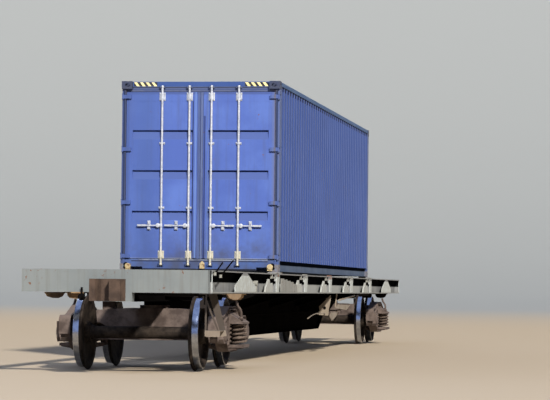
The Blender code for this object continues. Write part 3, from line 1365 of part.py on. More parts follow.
def main():
    for old in list(bpy.data.objects):
        bpy.data.objects.remove(old)
    wagon_frame()
    bogie("near", -BOGIE_CENTRES / 2)
    bogie("far", BOGIE_CENTRES / 2)
    container()


main()
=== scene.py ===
# %% [markdown]
# # A container flatcar, dressed for its photograph
#
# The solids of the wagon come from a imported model: frame, bogies, wheels, container. They are true to size
# but plain. This lesson gives them what the eye looks for: paint that has chalked, cast steel under brown
# brake dust, treads worn bright, zinc on the door gear. Every cell prints what it made.

import json
import math

import bmesh
import bpy
from mathutils import Matrix, Vector

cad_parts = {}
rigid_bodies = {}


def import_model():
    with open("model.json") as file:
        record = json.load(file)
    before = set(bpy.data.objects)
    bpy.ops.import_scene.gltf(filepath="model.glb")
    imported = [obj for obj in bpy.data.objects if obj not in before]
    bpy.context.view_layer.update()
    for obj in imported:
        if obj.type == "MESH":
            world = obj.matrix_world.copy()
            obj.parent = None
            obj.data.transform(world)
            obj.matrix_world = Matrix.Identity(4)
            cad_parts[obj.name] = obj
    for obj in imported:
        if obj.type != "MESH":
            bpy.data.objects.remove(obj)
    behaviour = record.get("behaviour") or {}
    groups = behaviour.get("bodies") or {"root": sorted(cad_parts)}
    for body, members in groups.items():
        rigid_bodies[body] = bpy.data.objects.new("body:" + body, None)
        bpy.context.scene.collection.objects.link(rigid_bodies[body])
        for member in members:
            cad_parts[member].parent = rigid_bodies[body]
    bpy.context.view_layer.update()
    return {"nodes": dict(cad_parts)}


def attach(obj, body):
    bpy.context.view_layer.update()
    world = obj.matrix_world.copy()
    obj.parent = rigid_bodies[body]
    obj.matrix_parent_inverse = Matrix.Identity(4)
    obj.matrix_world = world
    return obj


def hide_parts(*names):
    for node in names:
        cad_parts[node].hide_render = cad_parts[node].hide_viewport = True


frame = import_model()
scene_objects = bpy.context.scene.collection.objects

# %% [markdown]
# The camera of the photograph was found from the container's corners, whose places are known, and from the
# rail and sill lines. It stands low beside the train with a long lens, so lines along the wagon hardly
# draw together. A camera looks along its own -Z axis, so the three columns of its rotation are its right,
# its up and its back.

# %% The camera
PICTURE_WIDTH = 550
FOCAL_PIXELS = 2610
SENSOR_MM = 36
CAMERA_PLACE = Vector((-45.036, -6.91, 1.101))
CAMERA_YAW = math.radians(8.40)
CAMERA_PITCH = math.radians(1.97)
CAMERA_ROLL = math.radians(0.57)

forward = Vector((math.cos(CAMERA_YAW) * math.cos(CAMERA_PITCH),
                  math.sin(CAMERA_YAW) * math.cos(CAMERA_PITCH), math.sin(CAMERA_PITCH)))
level_right = Vector((math.sin(CAMERA_YAW), -math.cos(CAMERA_YAW), 0))
level_up = level_right.cross(forward)
right = level_right * math.cos(CAMERA_ROLL) + level_up * math.sin(CAMERA_ROLL)
up = level_up * math.cos(CAMERA_ROLL) - level_right * math.sin(CAMERA_ROLL)

camera = bpy.data.objects.new("camera", bpy.data.cameras.new("camera"))
scene_objects.link(camera)
camera.data.sensor_width = SENSOR_MM
camera.data.lens = FOCAL_PIXELS / PICTURE_WIDTH * SENSOR_MM
camera.data.clip_end = 500
rows = [(right[i], up[i], -forward[i], CAMERA_PLACE[i]) for i in range(3)]
camera.matrix_world = Matrix(rows + [(0, 0, 0, 1)])
bpy.context.scene.camera = camera
print("lens in mm", round(camera.data.lens, 1))

# %% [markdown]
# ## Colours and nodes
#
# A colour is written as people pick it on a screen, in sRGB hex, while the shader works in linear light.
# One function turns the first into the second, and the others add shader nodes with settings and links.

# %% Helpers for materials
def linear(hex_colour):
    """An sRGB hex colour such as "5070b0" as linear red, green, blue, alpha."""
    parts = [int(hex_colour[i:i + 2], 16) / 255 for i in (0, 2, 4)]
    return [p / 12.92 if p <= 0.04045 else ((p + 0.055) / 1.055) ** 2.4 for p in parts] + [1]


def feed(tree, socket, value):
    """Link the socket to another node's output, or set it to a constant, which may be a hex colour."""
    if isinstance(value, bpy.types.NodeSocket):
        tree.links.new(value, socket)
    else:
        socket.default_value = linear(value) if isinstance(value, str) else value


def add(tree, kind, sockets=None, **settings):
    """Add a node. Settings are its own properties, sockets are values or links for its inputs."""
    made = tree.nodes.new("ShaderNode" + kind)
    for name, value in settings.items():
        setattr(made, name, value)
    for name, value in (sockets or {}).items():
        feed(tree, made.inputs[name], value)
    return made


def blank_material(name):
    made = bpy.data.materials.new(name)
    made.use_nodes = True
    tree = made.node_tree
    return made, tree, tree.nodes["Principled BSDF"]


def soft_ramp(tree, value, low, high):
    """0 below low and 1 above high, rounded off at both ends."""
    return add(tree, "MapRange", {"Value": value, "From Min": low, "From Max": high},
               interpolation_type="SMOOTHSTEP").outputs[0]


def surface_place(tree):
    """The place of each point of a surface in metres, as outputs X, Y and Z."""
    return add(tree, "SeparateXYZ", {"Vector": add(tree, "TexCoord").outputs["Object"]}).outputs


def blotches(tree, size_mm, low, high, stretch=(1, 1, 1), detail=5, seed=0):
    """Soft spots of about the given size, from 0 below low to 1 above high."""
    place = add(tree, "TexCoord").outputs["Object"]
    scaled = add(tree, "Mapping", {"Vector": place, "Scale": stretch, "Location": (seed, seed, seed)})
    noise = add(tree, "TexNoise", {"Vector": scaled.outputs[0], "Scale": 1000 / size_mm,
                                   "Detail": detail, "Roughness": 0.6})
    return soft_ramp(tree, noise.outputs[0], low, high)


def blend(tree, amount, one, two):
    """One colour where the amount is 0 and the other where it is 1."""
    mix = add(tree, "Mix", {"Factor": amount}, data_type="RGBA")
    for index, value in ((6, one), (7, two)):
        feed(tree, mix.inputs[index], value)
    return mix.outputs[2]


def math_node(tree, operation, one, two=0.5):
    made = add(tree, "Math", operation=operation)
    for index, value in ((0, one), (1, two)):
        feed(tree, made.inputs[index], value)
    return made.outputs[0]


def region(tree, x=None, y=None, z=None, soft=0.004):
    """1 where |x|, |y| and z lie between the given limits in metres, 0 elsewhere.

    A third number, 1 or -1, keeps the limits of x or y to that side.
    """
    place = surface_place(tree)
    inside = 1.0
    for axis, limits in (("X", x), ("Y", y), ("Z", z)):
        if limits is None:
            continue
        at = place[axis]
        low, high, *way = limits
        if way:
            at = math_node(tree, "MULTIPLY", at, float(way[0]))
        elif axis != "Z":
            at = math_node(tree, "ABSOLUTE", at)
        rising = add(tree, "MapRange", {"Value": at, "From Min": low - soft, "From Max": low + soft})
        falling = add(tree, "MapRange", {"Value": at, "From Min": high - soft, "From Max": high + soft,
                                         "To Min": 1.0, "To Max": 0.0})
        both = math_node(tree, "MULTIPLY", rising.outputs[0], falling.outputs[0])
        inside = math_node(tree, "MULTIPLY", both, inside)
    return inside


def finish_surface(tree, shader, colour, roughness, bump_source, bump_mm, metallic=0.0, sheen=0.5):
    """Join colour, a roughness range and a bump of a given height to the shader."""
    shader.inputs["Specular IOR Level"].default_value = sheen
    tree.links.new(colour, shader.inputs["Base Color"])
    low, high = roughness
    spread = add(tree, "MapRange", {"Value": bump_source, "To Min": low, "To Max": high})
    tree.links.new(spread.outputs[0], shader.inputs["Roughness"])
    bump = add(tree, "Bump", {"Height": bump_source, "Strength": 0.6, "Distance": bump_mm / 1000})
    tree.links.new(bump.outputs[0], shader.inputs["Normal"])
    shader.inputs["Metallic"].default_value = metallic


print("helpers for materials ready")

# %% [markdown]
# ## Container enamel
#
# A container is sprayed with a chlorinated-rubber or water-borne enamel over zinc primer. Sun chalks it, so
# its colour lifts in soft patches a metre or so across, rain draws faint streaks down it, and the steel
# shows rust where it was knocked. The eye gets a satin surface: roughness near 0.5, no metal.

# %% Painted steel of every kind
def tone(tint, share, x=None, y=None, z=None, spots=None, soft=0.004):
    """A share of a colour where |x|, |y| and z are between limits, in spots of that size in mm if given."""
    return tint, share, (x, y, z, soft), spots


def painted_steel(name, paint, chalk, grime, rust_share=0.30, dust_low=None, streak_mm=70, sheen=0.3,
                  tones=()):
    """Old paint, faded, streaked and rusty, with tones laid over it in the order given."""
    made, tree, shader = blank_material(name)
    fade = blotches(tree, 900, 0.35, 0.70, seed=3)
    streaks = blotches(tree, streak_mm, 0.45, 0.75, stretch=(1, 1, 0.06), seed=7)
    colour = blend(tree, fade, paint, chalk)
    weak_streaks = math_node(tree, "MULTIPLY", streaks, 0.35)
    colour = blend(tree, weak_streaks, colour, grime)
    spots = blotches(tree, 60, 0.72 - rust_share * 0.2, 0.76 - rust_share * 0.2, detail=8, seed=11)
    area = blotches(tree, 500, 0.50, 0.62, seed=17)
    rust = math_node(tree, "MULTIPLY", spots, area)
    colour = blend(tree, rust, colour, "6b4a38")
    if dust_low is not None:
        low, high = dust_low
        rising = soft_ramp(tree, surface_place(tree)["Z"], low, high)
        falling = math_node(tree, "SUBTRACT", 1.0, rising)
        patchy = math_node(tree, "MULTIPLY", falling, blotches(tree, 250, 0.25, 0.75, seed=23))
        colour = blend(tree, patchy, colour, grime)
    for k, (tint, share, limits, spot_mm) in enumerate(tones):
        amount = math_node(tree, "MULTIPLY", region(tree, *limits), share)
        if spot_mm:
            amount = math_node(tree, "MULTIPLY", amount, blotches(tree, spot_mm, 0.36, 0.56, seed=61 + k))
        colour = blend(tree, amount, colour, tint)
    grain = blotches(tree, 25, 0.2, 0.8, detail=6, seed=29)
    finish_surface(tree, shader, colour, (0.42, 0.62), grain, 0.4, sheen=sheen)
    return made


TOP_CORNERS = {"x": (5.916, 6.2), "y": (1.050, 1.3), "z": (4.137, 4.3)}
LOW_CORNERS = {"x": (5.916, 6.2), "y": (1.050, 1.3), "z": (1.3, 1.479)}
HEADER_LOW = (4.085, 4.174)
HEADER_HIGH = (4.178, 4.3)
BLUES = ("4760ad", "5470bd", "465073")
container_enamel = painted_steel("blue_container_enamel", *BLUES, dust_low=(1.5, 2.2))

# On each door: painted shade on the slope and the lip of its pressed bands, then tones on its top and bottom
# edges and its hinge blades
BAND_TOPS = (2.281, 2.901, 3.511)
PANEL_REACH = (0.118, 1.045)
DOOR_TONES = [tone("3c5292", 0.9, y=PANEL_REACH, z=(top - 0.138, top - 0.024)) for top in BAND_TOPS]
DOOR_TONES += [tone("06184f", 0.9, y=PANEL_REACH, z=(top - 0.022, top + 0.003)) for top in BAND_TOPS]
DOOR_TONES += [tone("3c4c80", 0.6, z=(4.056, 4.100)),
                tone("8d96ac", 0.6, z=(1.550, 1.570)),
                tone("42558a", 0.7, x=(6.0775, 6.2), y=(1.0, 1.3))]
# Left door: a painted shade line where the step by the joint strip faces away from the light, a painted
# highlight on the strip's edge, then darker tones toward its outer edge
LEFT_TONES = (tone("0b1a3c", 0.85, y=(0.109, 0.125), z=(1.65, 3.96)),
              tone("607dbc", 0.9, y=(0.061, 0.081)),
              tone("3c4f84", 0.7, y=(1.098, 1.160), soft=0.020),
              tone("3f5796", 0.65, y=(0.620, 1.100), soft=0.200))
# Right door: a painted highlight on the step by the joint strip, painted shadow beside the raised strip,
# then tones toward its outer edge
RIGHT_TONES = (tone("576ea0", 0.9, y=(0.106, 0.120)),
               tone("0a1744", 0.9, y=(0.061, 0.077), z=(1.5, 3.73)),
               tone("2c3c78", 0.6, y=(0.046, 0.061), z=(1.5, 3.73)),
               tone("5a6a98", 0.5, y=(1.098, 1.129)),
               tone("5f5f70", 0.8, y=(1.129, 1.160)))
door_enamels = {word: painted_steel(f"blue_door_enamel_{word}", *BLUES, dust_low=(1.5, 2.2),
                                    tones=tuple(DOOR_TONES) + own_tones)
                for word, own_tones in (("left", LEFT_TONES), ("right", RIGHT_TONES))}
frame_enamel = painted_steel(
    "blue_door_frame_enamel", "3e5a9c", "4a67a8", "434d6b", dust_low=(1.5, 2.2), tones=(
        tone("2c4784", 0.75, z=HEADER_HIGH),
        tone("3d4768", 0.8, z=HEADER_LOW),
        # Painted light: a paler band that lightens the shadow under the header's lip
        tone("5f6c90", 0.7, z=(4.150, 4.176)),
        tone("6f7484", 0.4, z=(4.104, 4.122), spots=200),
        tone("5a5c6c", 0.9, y=(1.140, 1.160), z=(1.55, 4.13)),
        tone("18233f", 0.9, y=(1.160, 1.186), z=(1.55, 4.13)),
        tone("39497a", 0.9, y=(1.188, 1.225, 1), z=(1.55, 4.13)),
        tone("51618e", 0.9, y=(1.188, 1.225, -1), z=(1.55, 4.13)),
        tone("959da9", 0.7, y=(0, 1.050), z=(1.533, 1.556), spots=300),
        tone("1c2238", 0.85, y=(0, 1.050), z=(1.513, 1.531)),
        # Painted shadow: a near-black band at the foot of the door end, above the gap to the deck
        tone("07070a", 0.95, y=(0, 1.050), z=(1.360, 1.409)),
        tone("343f58", 0.9, **TOP_CORNERS),
        tone("727a86", 0.9, **LOW_CORNERS),
        tone("4a4038", 0.2, **TOP_CORNERS, spots=45),
        tone("6a5648", 0.5, **LOW_CORNERS, spots=45)))
top_rail_enamel = painted_steel("grey_blue_top_rail_enamel", "3d5b89", "476593", "42506a", sheen=0.15)
# Tones painted on the side walls: paler crests as painted highlight, painted shade in the valleys, and a
# painted shadow where the top rail overhangs
side_enamel = painted_steel(
    "blue_side_enamel", "3a5191", "42599a", "39425c", dust_low=(1.3, 1.5), sheen=0.12, tones=(
        tone("5c6ca0", 0.50, y=(1.209, 1.230), soft=0.001),
        tone("223164", 0.75, y=(1.150, 1.195), soft=0.004),
        tone("0c1226", 0.90, y=(1.150, 1.206), z=(4.120, 4.200)),
        tone("0c1226", 0.80, y=(1.150, 1.230), z=(4.165, 4.200))))
# A painted shadow darkens the top of the bottom rail, under the wall's lower edge
rail_enamel = painted_steel(
    "blue_grey_rail_enamel", "566580", "61708a", "4c5056", 0.5, sheen=0.0, tones=(
        tone("070c18", 0.95, z=(1.478, 1.560)),))
SILL_FACE = (1.236, 1.3)
# Painted tones: black under the sill's top flange, as painted shade with soot, light on its outer face,
# brown on all that hangs below
frame_paint = painted_steel(
    "grey_frame_paint", "83888f", "909498", "6c6b6a", 0.5, dust_low=(0.9, 1.2),
    streak_mm=120, sheen=0.0, tones=(
        tone("040405", 0.98, y=(0, 1.236), z=(1.19, 1.34)),
        tone("c3cfd6", 0.9, y=SILL_FACE, z=(1.05, 1.29)),
        tone("8b857c", 0.30, y=SILL_FACE, z=(1.05, 1.29), spots=90),
        tone("8f9396", 0.9, y=SILL_FACE, z=(1.03, 1.068)),
        tone("4c4541", 0.9, z=(0.56, 1.04)),
        tone("857a70", 0.8, z=(0.30, 0.56)),
        # Painted light: a paler lower web, below the line of the flange's shadow
        tone("a9aeb0", 0.7, x=(0, 7.5), y=(1.13, 1.165), z=(1.06, 1.19))))
end_paint = painted_steel("light_grey_end_paint", "6e777d", "7a8286", "5c5a54", 0.6, sheen=0.2)
# Black underframe paint, made near-black as painted shade for what lies under the wagon
dark_steel = painted_steel("black_underframe_paint", "0c0c0d", "121112", "151211", 0.1, sheen=0.0)
# The bolster is near black, as soot and as painted shade under the frame; the tan tone on the near pads is
# painted light, with rust spots
RIGHT_PADS = {"x": (0, 13, -1), "y": (0.97, 1.24), "z": (0.9, 1.045)}
bolster_paint = painted_steel(
    "sooty_and_shade_black_bolster_paint", "121111", "181615", "1b1816", 0.1, sheen=0.0, tones=(
        tone("a08a6c", 0.95, **RIGHT_PADS),
        tone("7d6049", 0.6, **RIGHT_PADS, spots=50)))
print("paints made")

# %% [markdown]
# ## Cast steel under brake dust
#
# Bogie frames are cast steel that never sees paint again: a skin of rust, packed with brown dust from the
# brake blocks, lighter on faces that look up. It is dull and rough.

# %% Cast steel, spring steel, wheel steel, zinc
def dusty_casting(name, dark, dust, roughness=(0.7, 0.95)):
    made, tree, shader = blank_material(name)
    patches = blotches(tree, 180, 0.30, 0.68, seed=5)
    normal = add(tree, "NewGeometry").outputs["Normal"]
    facing_up = add(tree, "SeparateXYZ", {"Vector": normal}).outputs["Z"]
    settled = add(tree, "MapRange", {"Value": facing_up, "From Min": -0.2, "From Max": 0.9})
    amount = math_node(tree, "MAXIMUM", patches, settled.outputs[0])
    colour = blend(tree, amount, dark, dust)
    grain = blotches(tree, 18, 0.15, 0.85, detail=8, seed=31)
    finish_surface(tree, shader, colour, roughness, grain, 1.5, metallic=0.1, sheen=0.1)
    return made


cast_steel = dusty_casting("brown_cast_steel", "453d3b", "6f6562")
spring_steel = dusty_casting("dusty_spring_steel", "3e3735", "71655e")
coupler_steel = dusty_casting("dark_coupler_steel", "3b3330", "5b4d45")


def rolled_wheel_steel(name, dark, dust, metallic, roughness, bump_mm=0.5, sheen=0.5):
    made, tree, shader = blank_material(name)
    patches = blotches(tree, 90, 0.30, 0.70, seed=13)
    colour = blend(tree, patches, dark, dust)
    grain = blotches(tree, 12, 0.2, 0.8, detail=8, seed=37)
    finish_surface(tree, shader, colour, roughness, grain, bump_mm, metallic=metallic, sheen=sheen)
    return made


wheel_steel = rolled_wheel_steel("rolled_wheel_steel", "1f1c1b", "3a3430", 0.0, (0.6, 0.85), sheen=0.05)
tread_steel = rolled_wheel_steel("worn_bright_tread", "9297a2", "b4b8c0", 1.0, (0.16, 0.24), bump_mm=0.1)


def zinc_coated(name):
    made, tree, shader = blank_material(name)
    spangle = blotches(tree, 35, 0.3, 0.7, detail=3, seed=41)
    colour = blend(tree, spangle, "a9b2c0", "c6ccd6")
    low_guides = math_node(tree, "MULTIPLY", region(tree, z=(1.40, 1.70), soft=0.03), 0.6)
    colour = blend(tree, low_guides, colour, "d2cba8")
    rust = blotches(tree, 80, 0.68, 0.74, seed=43)
    colour = blend(tree, rust, colour, "8a6a55")
    finish_surface(tree, shader, colour, (0.35, 0.55), spangle, 0.2, metallic=0.35)
    return made


zinc = zinc_coated("hot_dip_zinc")
print("metals made")

# %% [markdown]
# ## Floor boards
#
# The container floor is thick plywood, oiled and scuffed. Its grain runs along the container.

# %% Plywood
def grained(name, dark, light, roughness, bump_mm, size_mm, **pattern):
    """Two tones in one pattern, which also gives the surface its grain."""
    made, tree, shader = blank_material(name)
    grain = blotches(tree, size_mm, 0.3, 0.7, **pattern)
    colour = blend(tree, grain, dark, light)
    finish_surface(tree, shader, colour, roughness, grain, bump_mm)
    return made


floor_board = grained("oiled_plywood", "6f4d2f", "8d6a45", (0.5, 0.75), 0.5, 40,
                      stretch=(0.05, 1, 1), detail=8, seed=47)

# %% [markdown]
# ## Dress the solids
#
# Most of the model's own solids already have the right shape, so they only get their finish.

# %% Materials for the carried-over solids
FINISHES = (
    ("wheelset", wheel_steel),
    ("bogie", cast_steel),
    ("coupler", coupler_steel),
    ("lock_bar", zinc),
    ("container_floor", floor_board),
    ("container_side", side_enamel),
    ("container_door_frame", frame_enamel),
    ("container_front_frame", frame_enamel),
    ("container_top", top_rail_enamel),
    ("container_base", rail_enamel),
    ("container", container_enamel),
    ("door_leaf_left", door_enamels["left"]),
    ("door_leaf_right", door_enamels["right"]),
    ("end_beam", end_paint),
    ("side_sill", frame_paint),
    ("body_bolster", bolster_paint),
    ("centre_spine", dark_steel),
    ("air_reservoir", dark_steel),
    ("brake_cylinder", dark_steel),
)


def dress(target, finish):
    target.data.materials.clear()
    target.data.materials.append(finish)


for name, target in frame["nodes"].items():
    for start, finish in FINISHES:
        if name.startswith(start):
            dress(target, finish)
            break
for name, target in frame["nodes"].items():
    if "springs" in name:
        dress(target, spring_steel)
print("dressed", len(frame["nodes"]), "solids")

# %% [markdown]
# ## Round wheels
#
# The model's wheels have flat facets, as few as it can. A wheel is a turned thing, so one outline spun round
# the axle gives it back its roundness. The outline runs from the axle's middle to the journal's end.

# %% Wheelsets
TREAD_RADIUS = 0.4785
FLANGE_DEPTH = 0.028
WHEEL_BACK = 0.720
WHEEL_FACE = 0.850
AXLE_HEIGHT = TREAD_RADIUS + FLANGE_DEPTH
TURN_STEPS = 72
BOGIE_HALF_BASE = 0.925
BOGIE_PLACES = {"near": -9.5, "far": 9.5}
SIDES = {"left": 1, "right": -1}

R = TREAD_RADIUS
# Place along the axle and radius, from the middle of the axle outward, and whether the step is worn bright
WHEEL_OUTLINE = [
    (0.000, 0.083, 0), (0.640, 0.083, 0), (0.655, 0.095, 0), (0.692, 0.097, 0), (0.692, 0.128, 0),
    (0.700, 0.135, 0), (0.735, 0.139, 0), (0.760, 0.160, 0), (0.762, 0.230, 0), (0.748, 0.330, 0),
    (0.742, 0.380, 0), (0.727, R - 0.072, 0), (WHEEL_BACK, R - 0.062, 0), (WHEEL_BACK, R + 0.010, 0),
    (0.722, R + 0.020, 0), (0.730, R + 0.027, 0), (0.738, R + 0.028, 0), (0.745, R + 0.025, 0),
    (0.751, R + 0.016, 0), (0.757, R + 0.006, 0), (0.768, R, 1), (0.835, R - 0.004, 1),
    (0.846, R - 0.007, 1), (WHEEL_FACE, R - 0.014, 0), (WHEEL_FACE, R - 0.062, 0),
    (0.842, R - 0.070, 0), (0.790, 0.386, 0), (0.780, 0.360, 0), (0.792, 0.230, 0), (0.800, 0.165, 0),
    (0.845, 0.140, 0), (0.872, 0.134, 0), (0.878, 0.126, 0), (0.878, 0.097, 0), (0.905, 0.088, 0),
    (0.925, 0.0645, 0), (1.108, 0.0645, 0), (1.1125, 0.058, 0),
]


def new_object(name, shape, materials, smooth_degrees=35):
    """Turn a bmesh into a piece with smooth shading that keeps its sharp edges."""
    mesh = bpy.data.meshes.new(name)
    bmesh.ops.recalc_face_normals(shape, faces=shape.faces)
    shape.to_mesh(mesh)
    shape.free()
    for finish in materials:
        mesh.materials.append(finish)
    mesh.shade_smooth()
    mesh.set_sharp_from_angle(angle=math.radians(smooth_degrees))
    made = bpy.data.objects.new(name, mesh)
    scene_objects.link(made)
    return made


def join_rings(shape, sections, finishes):
    """Join equal rings of points, each step in its own finish, and close both ends."""
    rings = [[shape.verts.new(p) for p in section] for section in sections]
    for one, two, finish in zip(rings, rings[1:], finishes):
        for k in range(len(one)):
            n = (k + 1) % len(one)
            shape.faces.new((one[k], one[n], two[n], two[k])).material_index = finish
    shape.faces.new(rings[0]).material_index = finishes[0]
    shape.faces.new(rings[-1]).material_index = finishes[-1]


def turned_rings(shape, outline, steps, place, axis="Y"):
    """Rings of points for an outline of (along, radius, material), spun round an axis through place."""
    rings = []
    for along, radius, _ in outline:
        ring = []
        for k in range(steps):
            turn = 2 * math.pi * k / steps
            a, b = radius * math.sin(turn), -radius * math.cos(turn)
            offset = {"X": (along, a, b), "Y": (a, along, b), "Z": (a, b, along)}[axis]
            ring.append(Vector(place) + Vector(offset))
        rings.append(ring)
    join_rings(shape, rings, [row[2] for row in outline])


def box(shape, x, y, z, finish=0):
    """A box between three pairs of limits."""
    corners = [shape.verts.new((a, b, c)) for a in sorted(x) for b in sorted(y) for c in sorted(z)]
    for quad in ((0, 1, 3, 2), (4, 6, 7, 5), (0, 4, 5, 1), (2, 3, 7, 6), (0, 2, 6, 4), (1, 5, 7, 3)):
        shape.faces.new([corners[i] for i in quad]).material_index = finish


def loft(shape, sections, finish=0):
    """Join equal rings of points in one finish."""
    join_rings(shape, sections, [finish] * len(sections))


def turned(shape, profile, steps, place, axis, finish=0, way=1):
    """A turned piece from pairs of (along, radius). A way of -1 mirrors it along its axis."""
    turned_rings(shape, sorted((way * a, r, finish) for a, r in profile), steps, place, axis)


def soften(made, width):
    bevel = made.modifiers.new("soft_edges", "BEVEL")
    bevel.width = width
    bevel.segments = 2
    bevel.limit_method = "ANGLE"
    bevel.angle_limit = math.radians(50)
    bevel.harden_normals = True


def axles():
    """The bogie's word, the axle's word and its place along the wagon, for all four axles."""
    for word, x in BOGIE_PLACES.items():
        out = math.copysign(1, x)
        for end_word, way in (("outer", out), ("inner", -out)):
            yield word, end_word, x + way * BOGIE_HALF_BASE


def wheelset(word, end_word, x):
    mirrored = [(-a, r, m) for a, r, m in reversed(WHEEL_OUTLINE[1:])]
    shifted_marks = [(a, r, mirrored[min(i + 1, len(mirrored) - 1)][2])
                     for i, (a, r, m) in enumerate(mirrored)]
    shape = bmesh.new()
    turned_rings(shape, shifted_marks + WHEEL_OUTLINE[1:], TURN_STEPS, (x, 0, AXLE_HEIGHT))
    made = new_object(f"rolled_wheels_{word}_{end_word}", shape, [wheel_steel, tread_steel])
    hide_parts(f"wheelset_{word}_{end_word}")
    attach(made, f"wheelset_{word}_{end_word}")


for place in axles():
    wheelset(*place)
print("wheelsets turned")

# %% [markdown]
# ## Coil springs
#
# Each nest has seven springs in rows of two, three and two. A spring is a round bar of 30 mm wound into five
# turns and closed up at both ends, with a thinner one inside it. A circle swept along a helix makes them.

# %% Springs
SPRING_SEAT = 0.3523
SPRING_TOP = 0.6277
SPRING_MEAN_RADIUS = 0.0775
SPRING_BAR_RADIUS = 0.0150
SPRING_PITCH = 0.196
SPRING_ROW_PITCH = 0.168
SPRING_TURNS = 5.0
SPRING_STEPS_PER_TURN = 18
SPRING_SIDES = 8
CLOSED_TURN = 0.375
INNER_COIL = (0.048, 0.0100, 7.0)
NEST_Y = 1.018
SPRING_ROWS = [(-1, (-0.5, 0.5)), (0, (-1, 0, 1)), (1, (-0.5, 0.5))]


def coil(shape, centre, radius, bar, turns, low, high):
    """A round bar wound between two heights and closed up at both ends."""
    steps = int(turns * SPRING_STEPS_PER_TURN)
    low, high = low + bar, high - bar
    rings = []
    for k in range(steps + 1):
        t = k / steps * turns
        rise = min(max((t - CLOSED_TURN) / (turns - 2 * CLOSED_TURN), 0), 1)
        z = low + (high - low) * rise
        turn = 2 * math.pi * t
        middle = Vector((centre[0] + radius * math.cos(turn), centre[1] + radius * math.sin(turn), z))
        outward = Vector((math.cos(turn), math.sin(turn), 0))
        angles = [2 * math.pi * j / SPRING_SIDES for j in range(SPRING_SIDES)]
        rings.append([middle + bar * (outward * math.cos(a) + Vector((0, 0, 1)) * math.sin(a))
                      for a in angles])
    loft(shape, rings)


def spring_nest(word, side_word, x, side):
    shape = bmesh.new()
    for row, places in SPRING_ROWS:
        for place in places:
            spot = (x + place * SPRING_PITCH, side * NEST_Y + row * SPRING_ROW_PITCH)
            coil(shape, spot, SPRING_MEAN_RADIUS, SPRING_BAR_RADIUS, SPRING_TURNS,
                 SPRING_SEAT, SPRING_TOP)
            coil(shape, spot, *INNER_COIL, SPRING_SEAT, SPRING_TOP)
    made = new_object(f"coil_springs_{word}_{side_word}", shape, [spring_steel])
    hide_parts(f"bogie_{word}_springs_{side_word}")
    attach(made, f"bogie_{word}")


for word, x in BOGIE_PLACES.items():
    for side_word, side in SIDES.items():
        spring_nest(word, side_word, x, side)
print("springs wound")

# %% [markdown]
# ## Cast side frames
#
# A bogie's side is one casting. Its outline and its openings are drawn flat with rounded corners, filled and
# given a thickness. An inset of both faces leaves the rim that stiffens every edge of such a casting.

# %% Side frames
FRAME_Y = 1.018
FRAME_HALF_THICKNESS = 0.080
SEAT_TOP = 0.344
SEAT_UNDER = 0.304
SEAT_REACH = 0.262
WINDOW_REACH = 0.300
# Half of the outline: along the bogie, height, corner radius
SIDE_OUTLINE = ((0.340, 0.868, 0.06), (0.765, 0.735, 0.08), (1.085, 0.735, 0.03), (1.140, 0.680, 0.03),
                (1.140, 0.478, 0.008), (1.085, 0.478, 0.008), (1.085, 0.650, 0.012),
                (0.765, 0.650, 0.012), (0.765, 0.478, 0.008), (0.710, 0.478, 0.04), (0.350, 0.245, 0.09))
SPRING_WINDOW = ((-0.300, 0.344, 0.01), (0.300, 0.344, 0.01), (0.300, 0.815, 0.05), (-0.300, 0.815, 0.05))
ARM_WINDOW = ((0.385, 0.718, 0.05), (0.672, 0.650, 0.04), (0.672, 0.553, 0.03), (0.385, 0.395, 0.06))
RIM_WIDTH = 0.016
RIM_DEPTH = 0.024


def rounded(corners, steps=4):
    """Points of a closed outline whose corners are (u, v, radius)."""
    points = []
    count = len(corners)
    for i, (u, v, radius) in enumerate(corners):
        here = Vector((u, v))
        before = Vector(corners[i - 1][:2]) - here
        after = Vector(corners[(i + 1) % count][:2]) - here
        reach = min(radius, before.length * 0.45, after.length * 0.45)
        start, end = here + before.normalized() * reach, here + after.normalized() * reach
        for k in range(steps + 1):
            t = k / steps
            points.append(start * (1 - t) ** 2 + here * 2 * t * (1 - t) + end * t ** 2)
    return points


def cast_plate(shape, rings, x, near, far, rim, depth):
    """A thick plate with openings from flat rings of points, with a rim round every edge."""
    edges = []
    for ring in rings:
        corners = [shape.verts.new((x + u, near, v)) for u, v in ring]
        edges += [shape.edges.new((corners[i - 1], corners[i])) for i in range(len(corners))]
    filled = bmesh.ops.triangle_fill(shape, use_beauty=True, edges=edges)["geom"]
    flat = [part for part in filled if isinstance(part, bmesh.types.BMFace)]
    raised = bmesh.ops.extrude_face_region(shape, geom=flat, use_keep_orig=True)["geom"]
    moved = [part for part in raised if isinstance(part, bmesh.types.BMVert)]
    bmesh.ops.translate(shape, verts=moved, vec=(0, far - near, 0))
    bmesh.ops.recalc_face_normals(shape, faces=shape.faces)
    for level in (near, far):
        cap = [f for f in shape.faces if all(abs(c.co.y - level) < 1e-5 for c in f.verts)]
        bmesh.ops.inset_region(shape, faces=cap, thickness=rim, depth=0, use_even_offset=True)
        bmesh.ops.inset_region(shape, faces=cap, thickness=depth * 0.3, depth=-depth,
                               use_even_offset=True)


